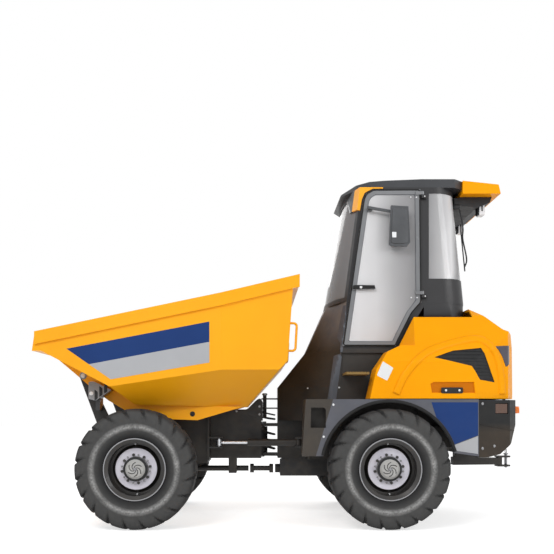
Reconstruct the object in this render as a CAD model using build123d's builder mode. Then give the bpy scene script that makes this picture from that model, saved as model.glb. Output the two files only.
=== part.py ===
"""Articulated site dumper with a forward-tipping skip and a rear cab.

Frame: +X towards the skip (forwards), +Y to the machine's left, +Z up, millimetres.
The origin is on the ground, midway between the skip's lip and the tow hitch.
"""
import os
from math import cos, hypot, radians, sin

from build123d import *

os.makedirs("parts", exist_ok=True)

# ---------------------------------------------------------------- driving dimensions
WHEEL_RADIUS = 537.5
FRONT_AXLE_X, REAR_AXLE_X = 1376, -883
WHEEL_Y = 920                     # centre plane of each tyre
TYRE_HALF_WIDTH = 202.5
PIVOT_X = 247                     # centre pivot of the articulated chassis
SKIP_HINGE = (1925, 1385)         # X, Z of the skip's tipping hinge
PLATE = 20                        # chassis plate
RUNNING_GAP = 0.6                 # radial gap of a pin in its bore


# ---------------------------------------------------------------- sketch helpers
def side_face(points, y):
    """Closed outline of (X, Z) points at height y across the machine; extrudes towards -Y."""
    with BuildSketch(Plane.XZ.offset(-y)) as face:
        with BuildLine():
            Polyline(*points, close=True)
        make_face()
    return face.sketch


def plan_face(points, z):
    """Closed outline of (X, Y) points at height z; extrudes upwards."""
    with BuildSketch(Plane.XY.offset(z)) as face:
        with BuildLine():
            Polyline(*points, close=True)
        make_face()
    return face.sketch


def cross_face(points, x):
    """Closed outline of (Y, Z) points at station x; extrudes forwards."""
    with BuildSketch(Plane.YZ.offset(x)) as face:
        with BuildLine():
            Polyline(*points, close=True)
        make_face()
    return face.sketch


def disc_face(radius, plane, bore=0):
    with BuildSketch(plane) as face:
        Circle(radius)
        if bore:
            Circle(bore, mode=Mode.SUBTRACT)
    return face.sketch


def rectangle(low, high):
    (x0, z0), (x1, z1) = low, high
    return [(x0, z0), (x1, z0), (x1, z1), (x0, z1)]


def mirrored(points):
    """An outline's half, given from front to back on +Y, closed with its mirror image."""
    return list(points) + [(x, -y) for x, y in reversed(points)]


def upright(x, y, z):
    return Plane((x, y, z))


def crosswise(x, y, z):
    """Plane through (x, y, z) whose normal is +Y."""
    return Plane((x, y, z), x_dir=(1, 0, 0), z_dir=(0, 1, 0))


def save(piece, name):
    piece.part.label = name
    export_step(piece.part, f"parts/{name}.step")


# ---------------------------------------------------------------- wheels
RIM_RADIUS, RIM_BARREL_RADIUS, RIM_HALF_WIDTH = 277, 250, 165
BEAD_RADIUS, BEAD_Y = 254, 152     # seat of the tyre's beads and inner face of the flanges
DISC_OUT, DISC_THICK, DISC_BORE = 60, 14, 112
HUB_RADIUS, HUB_NOSE, HUB_FLANGE_RADIUS = 107, 130, 165
HUB_DRUM_RADIUS, HUB_INNER = 120, -120
SPINDLE_RADIUS, SPINDLE_DEPTH = 50, 70
NUT_CIRCLE, NUT_COUNT, NUT_RADIUS, NUT_HEIGHT = 127, 8, 14, 15

# carcass section: (radius, distance from the centre plane), outboard half
CARCASS_SECTION = ((254.8, 138), (400, TYRE_HALF_WIDTH), (500, 168))
LUGS_PER_SIDE, LUG_HALF_WIDTH, LUG_CREST = 20, 57, 534.7
# one bar lug from near the centre line, over the shoulder and down the sidewall
LUG_SECTION = ((470, 6), (LUG_CREST, 6), (LUG_CREST, 158), (520, 184), (418, 194), (470, 120))


def radial_slab(section, half_thickness):
    """A (radius, offset) section standing on the X axis, thickened both ways in Z."""
    with BuildPart() as slab:
        with BuildSketch(Plane.XY):
            with BuildLine():
                Polyline(*section, close=True)
            make_face()
        extrude(amount=half_thickness, both=True)
    return slab.part


def make_tyre():
    """A tyre about the Y axis: a flat mitred sector to each lug, and two staggered rows of bar lugs."""
    pitch = 360 / LUGS_PER_SIDE
    outline = list(CARCASS_SECTION) + [(r, -w) for r, w in reversed(CARCASS_SECTION)]
    with BuildPart() as wedge:
        add(radial_slab(outline, 100))
        for hand in (1, -1):
            mitre = Vector(-sin(radians(pitch / 2)), 0, hand * cos(radians(pitch / 2)))
            split(bisect_by=Plane((0, 0, 0), z_dir=mitre), keep=Keep.BOTTOM)
    left_lug = radial_slab(LUG_SECTION, LUG_HALF_WIDTH)
    right_lug = radial_slab([(r, -w) for r, w in LUG_SECTION], LUG_HALF_WIDTH)
    pieces = []
    for n in range(LUGS_PER_SIDE):
        turn = pitch * (n + 0.25)      # the tyre stands between a left and a right lug
        pieces += [Rot(0, turn, 0) * wedge.part, Rot(0, turn, 0) * left_lug,
                   Rot(0, turn + pitch / 2, 0) * right_lug]
    return pieces[0].fuse(*pieces[1:])


def make_rim(x, side):
    inner = RIM_BARREL_RADIUS - 14
    section = [(DISC_BORE, DISC_OUT), (185, DISC_OUT), (215, DISC_OUT - 35), (inner, DISC_OUT - 35),
               (inner, RIM_HALF_WIDTH - 20), (262, RIM_HALF_WIDTH), (RIM_RADIUS, RIM_HALF_WIDTH),
               (RIM_RADIUS, BEAD_Y), (BEAD_RADIUS, BEAD_Y), (BEAD_RADIUS, -BEAD_Y),
               (RIM_RADIUS, -BEAD_Y), (RIM_RADIUS, -RIM_HALF_WIDTH),
               (262, -RIM_HALF_WIDTH), (inner, 20 - RIM_HALF_WIDTH),
               (inner, DISC_OUT - 35 - DISC_THICK), (209, DISC_OUT - 35 - DISC_THICK),
               (179, DISC_OUT - DISC_THICK), (DISC_BORE, DISC_OUT - DISC_THICK)]
    with BuildPart() as rim:
        with BuildSketch(Plane.XY.offset(WHEEL_RADIUS)):
            with BuildLine():
                Polyline(*[(x + r, side * (WHEEL_Y + w)) for r, w in section], close=True)
            make_face()
        revolve(axis=Axis((x, 0, WHEEL_RADIUS), (0, 1, 0)))
        face = Plane((x, side * (WHEEL_Y + DISC_OUT), WHEEL_RADIUS), x_dir=(1, 0, 0), z_dir=(0, side, 0))
        with BuildSketch(face):
            with PolarLocations(NUT_CIRCLE, NUT_COUNT, start_angle=10):
                RegularPolygon(NUT_RADIUS, 6)
        extrude(amount=NUT_HEIGHT)
    return rim


def make_hub(x, side):
    """Planetary hub: a nose through the disc, a bolted flange behind it and the inner drum."""
    flange_out = DISC_OUT - DISC_THICK
    section = [(0, HUB_NOSE), (70, HUB_NOSE), (88, HUB_NOSE - 14), (HUB_RADIUS, HUB_NOSE - 20),
               (HUB_RADIUS, flange_out), (HUB_FLANGE_RADIUS, flange_out),
               (HUB_FLANGE_RADIUS, flange_out - 16), (HUB_DRUM_RADIUS, flange_out - 16),
               (HUB_DRUM_RADIUS, HUB_INNER), (SPINDLE_RADIUS + RUNNING_GAP, HUB_INNER),
               (SPINDLE_RADIUS + RUNNING_GAP, HUB_INNER + SPINDLE_DEPTH),
               (0, HUB_INNER + SPINDLE_DEPTH)]
    with BuildPart() as hub:
        with BuildSketch(Plane.XY.offset(WHEEL_RADIUS)):
            with BuildLine():
                Polyline(*[(x + r, side * (WHEEL_Y + w)) for r, w in section], close=True)
            make_face()
        revolve(axis=Axis((x, 0, WHEEL_RADIUS), (0, 1, 0)))
    return hub


AXLE_ENDS = (("front", FRONT_AXLE_X), ("rear", REAR_AXLE_X))
SIDES = (("left", 1), ("right", -1))
TYRE = make_tyre()
for end, axle_x in AXLE_ENDS:
    for hand, side in SIDES:
        with BuildPart() as tyre:
            add(Pos(axle_x, side * WHEEL_Y, WHEEL_RADIUS) * TYRE)
        save(tyre, f"tyre_{end}_{hand}")
        save(make_rim(axle_x, side), f"rim_{end}_{hand}")
        save(make_hub(axle_x, side), f"hub_{end}_{hand}")

# ---------------------------------------------------------------- axles
AXLE_END_Y = WHEEL_Y + HUB_INNER - 5
AXLE_SECTION = ((0, 175), (90, 165), (160, 110), (300, 72), (AXLE_END_Y - 60, 72),
                (AXLE_END_Y - 45, 105), (AXLE_END_Y, 105), (AXLE_END_Y, SPINDLE_RADIUS),
                (AXLE_END_Y + SPINDLE_DEPTH, SPINDLE_RADIUS))      # (Y, radius)
AXLE_PAD_TOP = 700
PINION_Z, PINION_RADIUS, PINION_REACH = 470, 62, 260


def make_axle(x, towards_pivot):
    """Beam axle: a differential housing, two tapered arms, spindles, seats and pinion nose."""
    with BuildPart() as axle:
        with BuildSketch(Plane.XY.offset(WHEEL_RADIUS)):
            with BuildLine():
                arm = [(x + r, y) for y, r in AXLE_SECTION]
                end_y = AXLE_SECTION[-1][0]
                other = [(x + r, -y) for y, r in reversed(AXLE_SECTION[1:])]
                Polyline((x, end_y), (x, -end_y), *other, *arm, close=True)
            make_face()
        revolve(axis=Axis((x, 0, WHEEL_RADIUS), (0, 1, 0)))
        for y in (-315, 265):
            extrude(side_face(rectangle((x - 70, WHEEL_RADIUS), (x + 70, AXLE_PAD_TOP)), y + 50),
                    amount=50)
        nose = Plane((x, 0, PINION_Z), x_dir=(0, 1, 0), z_dir=(towards_pivot, 0, 0))
        extrude(disc_face(PINION_RADIUS, nose), amount=PINION_REACH)
    return axle


save(make_axle(FRONT_AXLE_X, -1), "front_axle")
save(make_axle(REAR_AXLE_X, 1), "rear_axle")

# ---------------------------------------------------------------- front chassis
SPINE_Y = 130                      # outer face of the narrow spine at the pivot
RAIL_Y = 300                       # outer face of the main rails
CROSS_X = 760                      # plate where the spine opens out to the rails
LUG_Z = ((600, 630), (900, 930))   # the pivot's lower and upper lugs on the rear chassis
PIVOT_PIN_RADIUS = 30
RAM_BASE = (1100, 612)             # X, Z of the tipping ram's base pin
RAM_EYE = (1560, 1170)             # X, Z of its rod eye on the skip
STEER_BASE = (-110, 300)           # X, Y of the steering ram's base pin
STEER_EYE = (669, 300)             # X, Y of its rod eye
STEER_Z = 745
ARM_Y = 610                        # outer face of the skip's hinge arms

with BuildPart() as front_frame:
    for y in (SPINE_Y, PLATE - SPINE_Y):
        spine = [(250, 580), (CROSS_X, 580), (CROSS_X, 1040), (420, 1040), (250, 960)]
        extrude(side_face(spine, y), amount=PLATE)
    extrude(disc_face(60, upright(PIVOT_X, 0, LUG_Z[0][1] + 4), bore=PIVOT_PIN_RADIUS + RUNNING_GAP),
            amount=LUG_Z[1][0] - LUG_Z[0][1] - 8)
    web = mirrored([(340, SPINE_Y - PLATE), (285, SPINE_Y - PLATE)])
    extrude(plan_face(web, 650), amount=230)
    cross = rectangle((CROSS_X, 580), (CROSS_X + PLATE, 1040))
    extrude(side_face(cross, 350), amount=700)
    rail = [(CROSS_X + PLATE, 560), (1180, 560), (1230, AXLE_PAD_TOP), (1720, AXLE_PAD_TOP),
            (1720, 960), (1150, 1000), (CROSS_X + PLATE, 1040)]
    for y in (RAIL_Y, PLATE - RAIL_Y):
        extrude(side_face(rail, y), amount=PLATE)
    belly = rectangle((CROSS_X + PLATE, 540), (1180, 560))
    extrude(side_face(belly, RAIL_Y), amount=2 * RAIL_Y)
    front_beam = rectangle((1640, 860), (1720, 960))
    extrude(side_face(front_beam, ARM_Y), amount=2 * ARM_Y)
    arm = [(1600, 820), (1760, 820), (1965, 1372), (1885, 1398)]
    for y in (ARM_Y, PLATE - ARM_Y):
        extrude(side_face(arm, y), amount=PLATE)
        boss = crosswise(SKIP_HINGE[0], y - PLATE, SKIP_HINGE[1])
        extrude(disc_face(42, boss), amount=PLATE)
    for y in (73, -58):            # lugs that hold the tipping ram's base
        lug = [(1040, 560), (1160, 560), (1140, 655), (1060, 655)]
        extrude(side_face(lug, y), amount=15)
    for z in (STEER_Z - 55, STEER_Z + 40):   # lugs above and below the steering rod's eye
        lug = [(CROSS_X, 255), (CROSS_X, 345), (STEER_EYE[0] - 35, 330), (STEER_EYE[0] - 35, 270)]
        extrude(plan_face(lug, z), amount=15)
    hinge_bore = crosswise(SKIP_HINGE[0], -ARM_Y - 10, SKIP_HINGE[1])
    extrude(disc_face(25 + RUNNING_GAP, hinge_bore), amount=2 * ARM_Y + 20, mode=Mode.SUBTRACT)
    ram_bore = crosswise(RAM_BASE[0], -80, RAM_BASE[1])
    extrude(disc_face(20 + RUNNING_GAP, ram_bore), amount=160, mode=Mode.SUBTRACT)
save(front_frame, "front_frame")

with BuildPart() as head_lamps:
    for side in (1, -1):
        bracket = rectangle((1745, 1060), (1785, 1180))
        extrude(side_face(bracket, max(side * ARM_Y, side * 760)), amount=760 - ARM_Y)
        casing = [(1633, 1243), (1775, 1144), (1843, 1163), (1838, 1306), (1800, 1310)]
        extrude(side_face(casing, max(side * 690, side * 800)), amount=110)
        for lens_z in (1205, 1262):
            lens = Plane((1841, side * 745, lens_z), x_dir=(0, 1, 0), z_dir=(1, 0, 0))
            extrude(disc_face(24, lens), amount=8)
save(head_lamps, "head_lamps")

with BuildPart() as front_shaft:
    shaft = Plane((380, 0, PINION_Z), x_dir=(0, 1, 0), z_dir=(1, 0, 0))
    extrude(disc_face(28, shaft), amount=FRONT_AXLE_X - PINION_REACH - 380)
    carrier = rectangle((500, 430), (580, 580))
    extrude(side_face(carrier, SPINE_Y), amount=2 * SPINE_Y)
save(front_shaft, "front_shaft")

# ---------------------------------------------------------------- skip
SKIP_HALF, SKIP_REAR_HALF, SKIP_FLOOR_HALF = 1030, 930, 800
SKIP_WALL = 10
SKIP_CREASE_X = 617
SKIP_LIP_BOTTOM = (2295, 1590)
# lower outline from the lip to the rear wall's top: (X, Z)
SKIP_UNDER = (SKIP_LIP_BOTTOM, (2214, 1590), (1606, 1273), (1415, 1114), (391, 1092),
              (18, 1511), (-30, 2175), (-90, 2200))
SKIP_RIM = ((-90, 2290), (SKIP_CREASE_X, 2105), (2270, 1761))
RIM_DEPTH, RIM_PROUD = 115, 20
FOLD_FRONT, FOLD_REAR = (1606, 1273), (18, 1511)


def skip_plan(inset):
    """The skip's outline in plan, drawn in by inset: parallel sides that close in behind the crease."""
    half, rear_half = SKIP_HALF - inset, SKIP_REAR_HALF - inset
    return mirrored([(2400, half), (SKIP_CREASE_X, half), (18, rear_half), (-200, rear_half - 36)])


def skip_form(inset, lift=0):
    """The skip's outer form drawn in by inset; lift raises its open top."""
    profile = list(SKIP_UNDER) + [(x, z + lift) for x, z in SKIP_RIM]
    with BuildPart() as form:
        with BuildSketch(Plane.XZ.offset(-1200)):
            with BuildLine():
                Polyline(*profile, close=True)
            make_face()
            if inset > 0:
                offset(amount=-inset, kind=Kind.INTERSECTION)
        extrude(amount=2400)
        extrude(plan_face(skip_plan(inset), 900), amount=1600 + lift, mode=Mode.INTERSECT)
        # below the fold the side panels lean in to the floor
        run, rise = FOLD_REAR[0] - FOLD_FRONT[0], FOLD_REAR[1] - FOLD_FRONT[1]
        drop = SKIP_HALF - SKIP_FLOOR_HALF
        for side in (1, -1):
            fold = Vector(run, 0, rise)
            lean = Vector(FOLD_FRONT[0] - 1415, side * drop, FOLD_FRONT[1] - 1114)
            normal = fold.cross(lean)
            if normal.Y * side < 0:
                normal = -normal
            normal = normal.normalized()
            edge = Vector(FOLD_FRONT[0], side * SKIP_HALF, FOLD_FRONT[1]) - normal * inset
            split(bisect_by=Plane(edge, z_dir=normal), keep=Keep.BOTTOM)
    return form.part


with BuildPart() as skip_shell:
    add(skip_form(0))
    add(skip_form(SKIP_WALL, lift=300), mode=Mode.SUBTRACT)
    with BuildPart():              # rolled rim outside the top of both side panels
        under_rim = [(x, z - RIM_DEPTH) for x, z in reversed(SKIP_RIM)]
        extrude(side_face([*SKIP_RIM, *under_rim], 1200), amount=2400)
        extrude(plan_face(skip_plan(-RIM_PROUD), 900), amount=1600, mode=Mode.INTERSECT)
        extrude(plan_face(skip_plan(0), 900), amount=1600, mode=Mode.SUBTRACT)
save(skip_shell, "skip_shell")


def under_z(x):
    """Height of the skip's underside at x, between the rear of the floor and the lip."""
    for (x1, z1), (x0, z0) in zip(SKIP_UNDER[1:4], SKIP_UNDER[2:5]):
        if x0 <= x <= x1:
            return z0 + (z1 - z0) * (x - x0) / (x1 - x0)
    raise ValueError(x)


RIB_Y, RIB_THICK = 648, 16
LUG_THICK = 15
with BuildPart() as skip_ribs:
    rib = [(2214, 1590), (2200, 1572), (1925, 1340), (1848, 1271), (1685, 1151), (1481, 1032),
           (1300, 985), (853, 968), (430, under_z(430)), (1415, 1114), (1606, 1273)]
    for y in (RIB_Y, RIB_THICK - RIB_Y):
        extrude(side_face(rib, y), amount=RIB_THICK)
    eye_x, eye_z = RAM_EYE
    lug = [(eye_x - 45, eye_z - 40), (eye_x + 25, eye_z - 40), (eye_x + 110, under_z(eye_x + 110)),
           (1606, 1273), (eye_x - 60, under_z(eye_x - 60))]
    for y in (43 + LUG_THICK, -43):      # lugs either side of the tipping rod's eye
        extrude(side_face(lug, y), amount=LUG_THICK)
    hinge_bore = crosswise(SKIP_HINGE[0], -RIB_Y - 10, SKIP_HINGE[1])
    extrude(disc_face(25, hinge_bore), amount=2 * RIB_Y + 20, mode=Mode.SUBTRACT)
save(skip_ribs, "skip_ribs")

with BuildPart() as skip_hinge_pins:
    for y in (ARM_Y - PLATE - 20, -RIB_Y - 12):
        pin = crosswise(SKIP_HINGE[0], y, SKIP_HINGE[1])
        extrude(disc_face(25, pin), amount=RIB_Y + 12 - (ARM_Y - PLATE - 20))
save(skip_hinge_pins, "skip_hinge_pins")

HANDLE_RADIUS = 11
with BuildPart() as skip_handles:
    for side in (1, -1):
        with BuildLine() as path:
            y = side * 890
            FilletPolyline((10.5, y, 1600), (-52, y, 1600), (-66, y, 1850), (-7.5, y, 1850),
                           radius=30)
        with BuildSketch(Plane(path.line @ 0, z_dir=path.line % 0)):
            RegularPolygon(HANDLE_RADIUS, 8)
        sweep(path=path.line)
save(skip_handles, "skip_handles")

# ---------------------------------------------------------------- tipping ram
RAM_TUBE, RAM_ROD, RAM_GLAND = 52, 30, 612      # radii, and the gland's distance from the base
ram_dx, ram_dz = RAM_EYE[0] - RAM_BASE[0], RAM_EYE[1] - RAM_BASE[1]
RAM_LENGTH = hypot(ram_dx, ram_dz)
ram_dir = (ram_dx / RAM_LENGTH, 0, ram_dz / RAM_LENGTH)


def along(base, direction, distance):
    """Plane square to direction, at a distance from base."""
    origin = Vector(*base) + Vector(*direction) * distance
    return Plane(origin, z_dir=direction)


ram_base = (RAM_BASE[0], 0, RAM_BASE[1])
with BuildPart() as tip_barrel:
    extrude(disc_face(44, crosswise(RAM_BASE[0], -44, RAM_BASE[1])), amount=88)
    extrude(disc_face(RAM_TUBE, along(ram_base, ram_dir, 30)), amount=RAM_GLAND - 30)
    extrude(disc_face(RAM_ROD + 1, along(ram_base, ram_dir, 80)), amount=RAM_GLAND, mode=Mode.SUBTRACT)
    extrude(disc_face(20, crosswise(RAM_BASE[0], -75, RAM_BASE[1])), amount=150)
save(tip_barrel, "tip_barrel")

with BuildPart() as tip_rod:
    extrude(disc_face(RAM_ROD, along(ram_base, ram_dir, 95)), amount=RAM_LENGTH - 95 - 20)
    extrude(disc_face(40, crosswise(RAM_EYE[0], -34, RAM_EYE[1])), amount=68)
    extrude(disc_face(20, crosswise(RAM_EYE[0], -39, RAM_EYE[1])), amount=78)
save(tip_rod, "tip_rod")

# ---------------------------------------------------------------- steering ram
STEER_LENGTH = STEER_EYE[0] - STEER_BASE[0]
STEER_TUBE, STEER_ROD, STEER_GLAND = 35, 15, 500
STEER_PISTON = 232                 # the rod's inner end, clear of the barrel's foot when retracted
with BuildPart() as steer_barrel:
    extrude(disc_face(32, upright(*STEER_BASE, STEER_Z - 30)), amount=60)
    base = (*STEER_BASE, STEER_Z)
    extrude(disc_face(STEER_TUBE, along(base, (1, 0, 0), 20)), amount=STEER_GLAND - 20)
    extrude(disc_face(STEER_ROD + 1, along(base, (1, 0, 0), 60)), amount=STEER_GLAND, mode=Mode.SUBTRACT)
    extrude(disc_face(15, upright(*STEER_BASE, STEER_Z - 52)), amount=104)
save(steer_barrel, "steer_barrel")

with BuildPart() as steer_rod:
    extrude(disc_face(STEER_ROD, along(base, (1, 0, 0), STEER_PISTON)),
            amount=STEER_LENGTH - STEER_PISTON - 15)
    extrude(disc_face(30, upright(*STEER_EYE, STEER_Z - 30)), amount=60)
    extrude(disc_face(14, upright(*STEER_EYE, STEER_Z - 37)), amount=74)
save(steer_rod, "steer_rod")

# ---------------------------------------------------------------- rear chassis
NOSE_X, NOSE_Y = 85, 110           # front plate of the rear chassis' nose box
REAR_CROSS_X = -200
RAIL_END_X = -1980
RAIL_TOP = 900
with BuildPart() as rear_frame:
    box = rectangle((REAR_CROSS_X, 580), (NOSE_X, 960))
    extrude(side_face(box, NOSE_Y), amount=2 * NOSE_Y)
    core = rectangle((REAR_CROSS_X - 30, 600), (NOSE_X - PLATE, 940))
    extrude(side_face(core, NOSE_Y - PLATE), amount=2 * (NOSE_Y - PLATE), mode=Mode.SUBTRACT)
    for low, high in LUG_Z:
        extrude(plan_face(mirrored([(PIVOT_X, 70), (NOSE_X - 5, 90)]), low), amount=high - low)
        extrude(disc_face(70, upright(PIVOT_X, 0, low)), amount=high - low)
    extrude(disc_face(PIVOT_PIN_RADIUS, upright(PIVOT_X, 0, 500)), amount=500, mode=Mode.SUBTRACT)
    cross = rectangle((REAR_CROSS_X - PLATE, 580), (REAR_CROSS_X, 960))
    extrude(side_face(cross, 350), amount=700)
    rail = [(REAR_CROSS_X - PLATE, 580), (-650, 580), (-720, AXLE_PAD_TOP),
            (RAIL_END_X, AXLE_PAD_TOP), (RAIL_END_X, RAIL_TOP), (REAR_CROSS_X - PLATE, RAIL_TOP)]
    for y in (RAIL_Y, PLATE - RAIL_Y):
        extrude(side_face(rail, y), amount=PLATE)
    tray = rectangle((-1960, AXLE_PAD_TOP), (-1250, AXLE_PAD_TOP + 15))
    extrude(side_face(tray, RAIL_Y - PLATE), amount=2 * (RAIL_Y - PLATE))
    for z in (STEER_Z - 50, STEER_Z + 35):      # lugs above and below the steering ram's base
        lug = [(REAR_CROSS_X, 250), (REAR_CROSS_X, 350), (STEER_BASE[0] + 30, 335),
               (STEER_BASE[0] + 30, 265)]
        extrude(plan_face(lug, z), amount=15)
    extrude(disc_face(15 + RUNNING_GAP, upright(*STEER_BASE, STEER_Z - 60)), amount=120,
            mode=Mode.SUBTRACT)
save(rear_frame, "rear_frame")

with BuildPart() as pivot_pin:
    extrude(disc_face(PIVOT_PIN_RADIUS, upright(PIVOT_X, 0, LUG_Z[0][0] - 12)),
            amount=LUG_Z[1][1] - LUG_Z[0][0] + 12)
    extrude(disc_face(48, upright(PIVOT_X, 0, LUG_Z[1][1])), amount=16)
save(pivot_pin, "pivot_pin")

SHAFT_HALF = 118                   # half the length of the jointed shaft under the pivot
with BuildPart() as drive_shaft:
    extrude(disc_face(26, Plane((PIVOT_X - SHAFT_HALF, 0, PINION_Z), z_dir=(1, 0, 0))),
            amount=2 * SHAFT_HALF)
    for x in (PIVOT_X - SHAFT_HALF, PIVOT_X + SHAFT_HALF - 40):
        extrude(disc_face(46, Plane((x, 0, PINION_Z), z_dir=(1, 0, 0))), amount=40)
save(drive_shaft, "drive_shaft")

with BuildPart() as gearbox:
    casing = [(-560, 400), (60, 400), (60, 555), (20, 580), (-560, 580)]
    extrude(side_face(casing, 100), amount=200)
    extrude(disc_face(45, Plane((60, 0, PINION_Z), z_dir=(1, 0, 0))), amount=50)
    extrude(disc_face(28, Plane((REAR_AXLE_X + PINION_REACH, 0, PINION_Z), z_dir=(1, 0, 0))),
            amount=-560 - REAR_AXLE_X - PINION_REACH)
save(gearbox, "gearbox")

with BuildPart() as engine:
    extrude(side_face(rectangle((-1900, AXLE_PAD_TOP + 15), (-1300, 1460)), 230), amount=460)
save(engine, "engine")

# ---------------------------------------------------------------- rear body below the cab
COWL_BOTTOM, NOSE_KNEE_Z, FLOOR_TOP, SILL_Z = 960, 1289, 1640, 2080
BASE_FRONT_X, BASE_REAR_X, BASE_Y = -500, -1150, 620
FLOOR_BOTTOM = FLOOR_TOP - 40
CAB_Y = 650
COWL_WALL = 15
# half outlines in plan, front to back: (X, Y)
NOSE_LOW = ((NOSE_X, NOSE_Y), (-400, BASE_Y), (BASE_FRONT_X, BASE_Y))
NOSE_HIGH = ((-195, NOSE_Y), (-492, CAB_Y), (BASE_FRONT_X, CAB_Y))
DASH_LOW = NOSE_HIGH[:2]
DASH_HIGH = ((-394, 200), (-545, CAB_Y))


def drawn_in(half_outline, wall):
    """The same half outline moved in by a wall, still open at its rear end."""
    (x0, y0), (x1, y1) = half_outline[:2]
    rear_x, rear_y = half_outline[-1]
    return ((x0 - wall, y0 - wall / 3), (x1 - wall / 2, y1 - wall), (rear_x - 40, rear_y - wall))


def nose_block(sections):
    """Solid through (half outline, height) sections, ruled from one to the next."""
    with BuildPart() as block:
        for (low, z_low), (high, z_high) in zip(sections, sections[1:]):
            loft([plan_face(mirrored(low), z_low).face(), plan_face(mirrored(high), z_high).face()],
                 ruled=True)
    return block.part


with BuildPart() as nose_cowl:
    add(nose_block(((NOSE_LOW, COWL_BOTTOM), (NOSE_LOW, NOSE_KNEE_Z), (NOSE_HIGH, FLOOR_TOP))))
    low, high = drawn_in(NOSE_LOW, COWL_WALL), drawn_in(NOSE_HIGH, COWL_WALL)
    add(nose_block(((low, COWL_BOTTOM - 5), (low, NOSE_KNEE_Z - 5), (high, FLOOR_TOP - COWL_WALL))),
        mode=Mode.SUBTRACT)
save(nose_cowl, "nose_cowl")

with BuildPart() as dash_cowl:
    add(nose_block(((DASH_LOW, FLOOR_TOP), (DASH_HIGH, SILL_Z))))
    low, high = drawn_in(DASH_LOW, COWL_WALL), drawn_in(DASH_HIGH, COWL_WALL)
    add(nose_block(((low, FLOOR_TOP - 1), (high, SILL_Z - 14))), mode=Mode.SUBTRACT)
save(dash_cowl, "dash_cowl")

with BuildPart() as cab_base:
    walls = rectangle((BASE_REAR_X, RAIL_TOP), (BASE_FRONT_X, FLOOR_BOTTOM))
    extrude(side_face(walls, BASE_Y), amount=2 * BASE_Y)
    inside = rectangle((BASE_REAR_X + PLATE, RAIL_TOP - 1), (BASE_FRONT_X - PLATE, FLOOR_BOTTOM + 1))
    extrude(side_face(inside, BASE_Y - PLATE), amount=2 * (BASE_Y - PLATE), mode=Mode.SUBTRACT)
    floor = rectangle((BASE_REAR_X, FLOOR_BOTTOM), (BASE_FRONT_X, FLOOR_TOP))
    extrude(side_face(floor, CAB_Y), amount=2 * CAB_Y)
save(cab_base, "cab_base")

# ---------------------------------------------------------------- cab
CAB_TOP = 3150
CAB_WALL = 45
CAB_CORNER = 220                   # plan radius of the rear corners
CAB_LOW = (SILL_Z, -388, -545, -1690)        # height, nose X, front corner X, rear X
CAB_HIGH = (CAB_TOP, -571, -681, -1585)
BULKHEAD = ((-1010, FLOOR_TOP), (-1262, SILL_Z - PLATE))   # line behind the seat, (X, Z)


def cab_section(level, inset):
    z, nose_x, corner_x, rear_x = level
    half, radius = CAB_Y - inset, CAB_CORNER - inset
    nose_x, corner_x, rear_x = nose_x - inset, corner_x - inset, rear_x + inset
    bend = radius * (1 - cos(radians(45)))
    with BuildSketch(Plane.XY.offset(z)) as section:
        with BuildLine():
            ThreePointArc((corner_x, -half), (nose_x, 0), (corner_x, half))
            Line((corner_x, half), (rear_x + radius, half))
            ThreePointArc((rear_x + radius, half), (rear_x + bend, half - bend),
                          (rear_x, half - radius))
            Line((rear_x, half - radius), (rear_x, radius - half))
            ThreePointArc((rear_x, radius - half), (rear_x + bend, bend - half),
                          (rear_x + radius, -half))
            Line((rear_x + radius, -half), (corner_x, -half))
        make_face()
    return section.sketch


def cab_hull(inset):
    with BuildPart() as hull:
        loft([cab_section(CAB_LOW, inset).face(), cab_section(CAB_HIGH, inset).face()], ruled=True)
    return hull.part


WINDSCREEN_Z, GLASS_TOP_Z = 2125, 3095
QUARTER_FRONT_X, QUARTER_SILL_Z = -1315, 2295
windscreen_hole = [(0, WINDSCREEN_Z), (0, GLASS_TOP_Z), (-733, GLASS_TOP_Z), (-604, WINDSCREEN_Z)]
rear_hole = rectangle((-2000, QUARTER_SILL_Z), (QUARTER_FRONT_X, GLASS_TOP_Z))
WINDSCREEN_Y = CAB_Y - 45          # the windscreen ends at the front corner posts
DOOR_OUTLINE = ((-505, 1662), (-700, 3030), (-725, 3085), (-790, 3122), (-1230, 3125),
                (-1240, 2070), (-1150, 1966), (-1010, 1690), (-1000, 1662))
DOOR_HOLE = ((-556, 1700), (-745, 3020), (-765, 3060), (-805, 3080), (-1190, 3080),
             (-1200, 2090), (-1112, 1975), (-985, 1715), (-978, 1700))

DOOR_HINGE = (-1250, 692)          # X, Y of each door's hinge axis
KNUCKLE_Z = (2110, 3040)           # foot of each hinge
KNUCKLE_RADIUS, KNUCKLE_HEIGHT, DOOR_PIN_RADIUS = 12, 30, 6


def hinge_plan(points, side):
    return [(x, side * y) for x, y in points]


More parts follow.
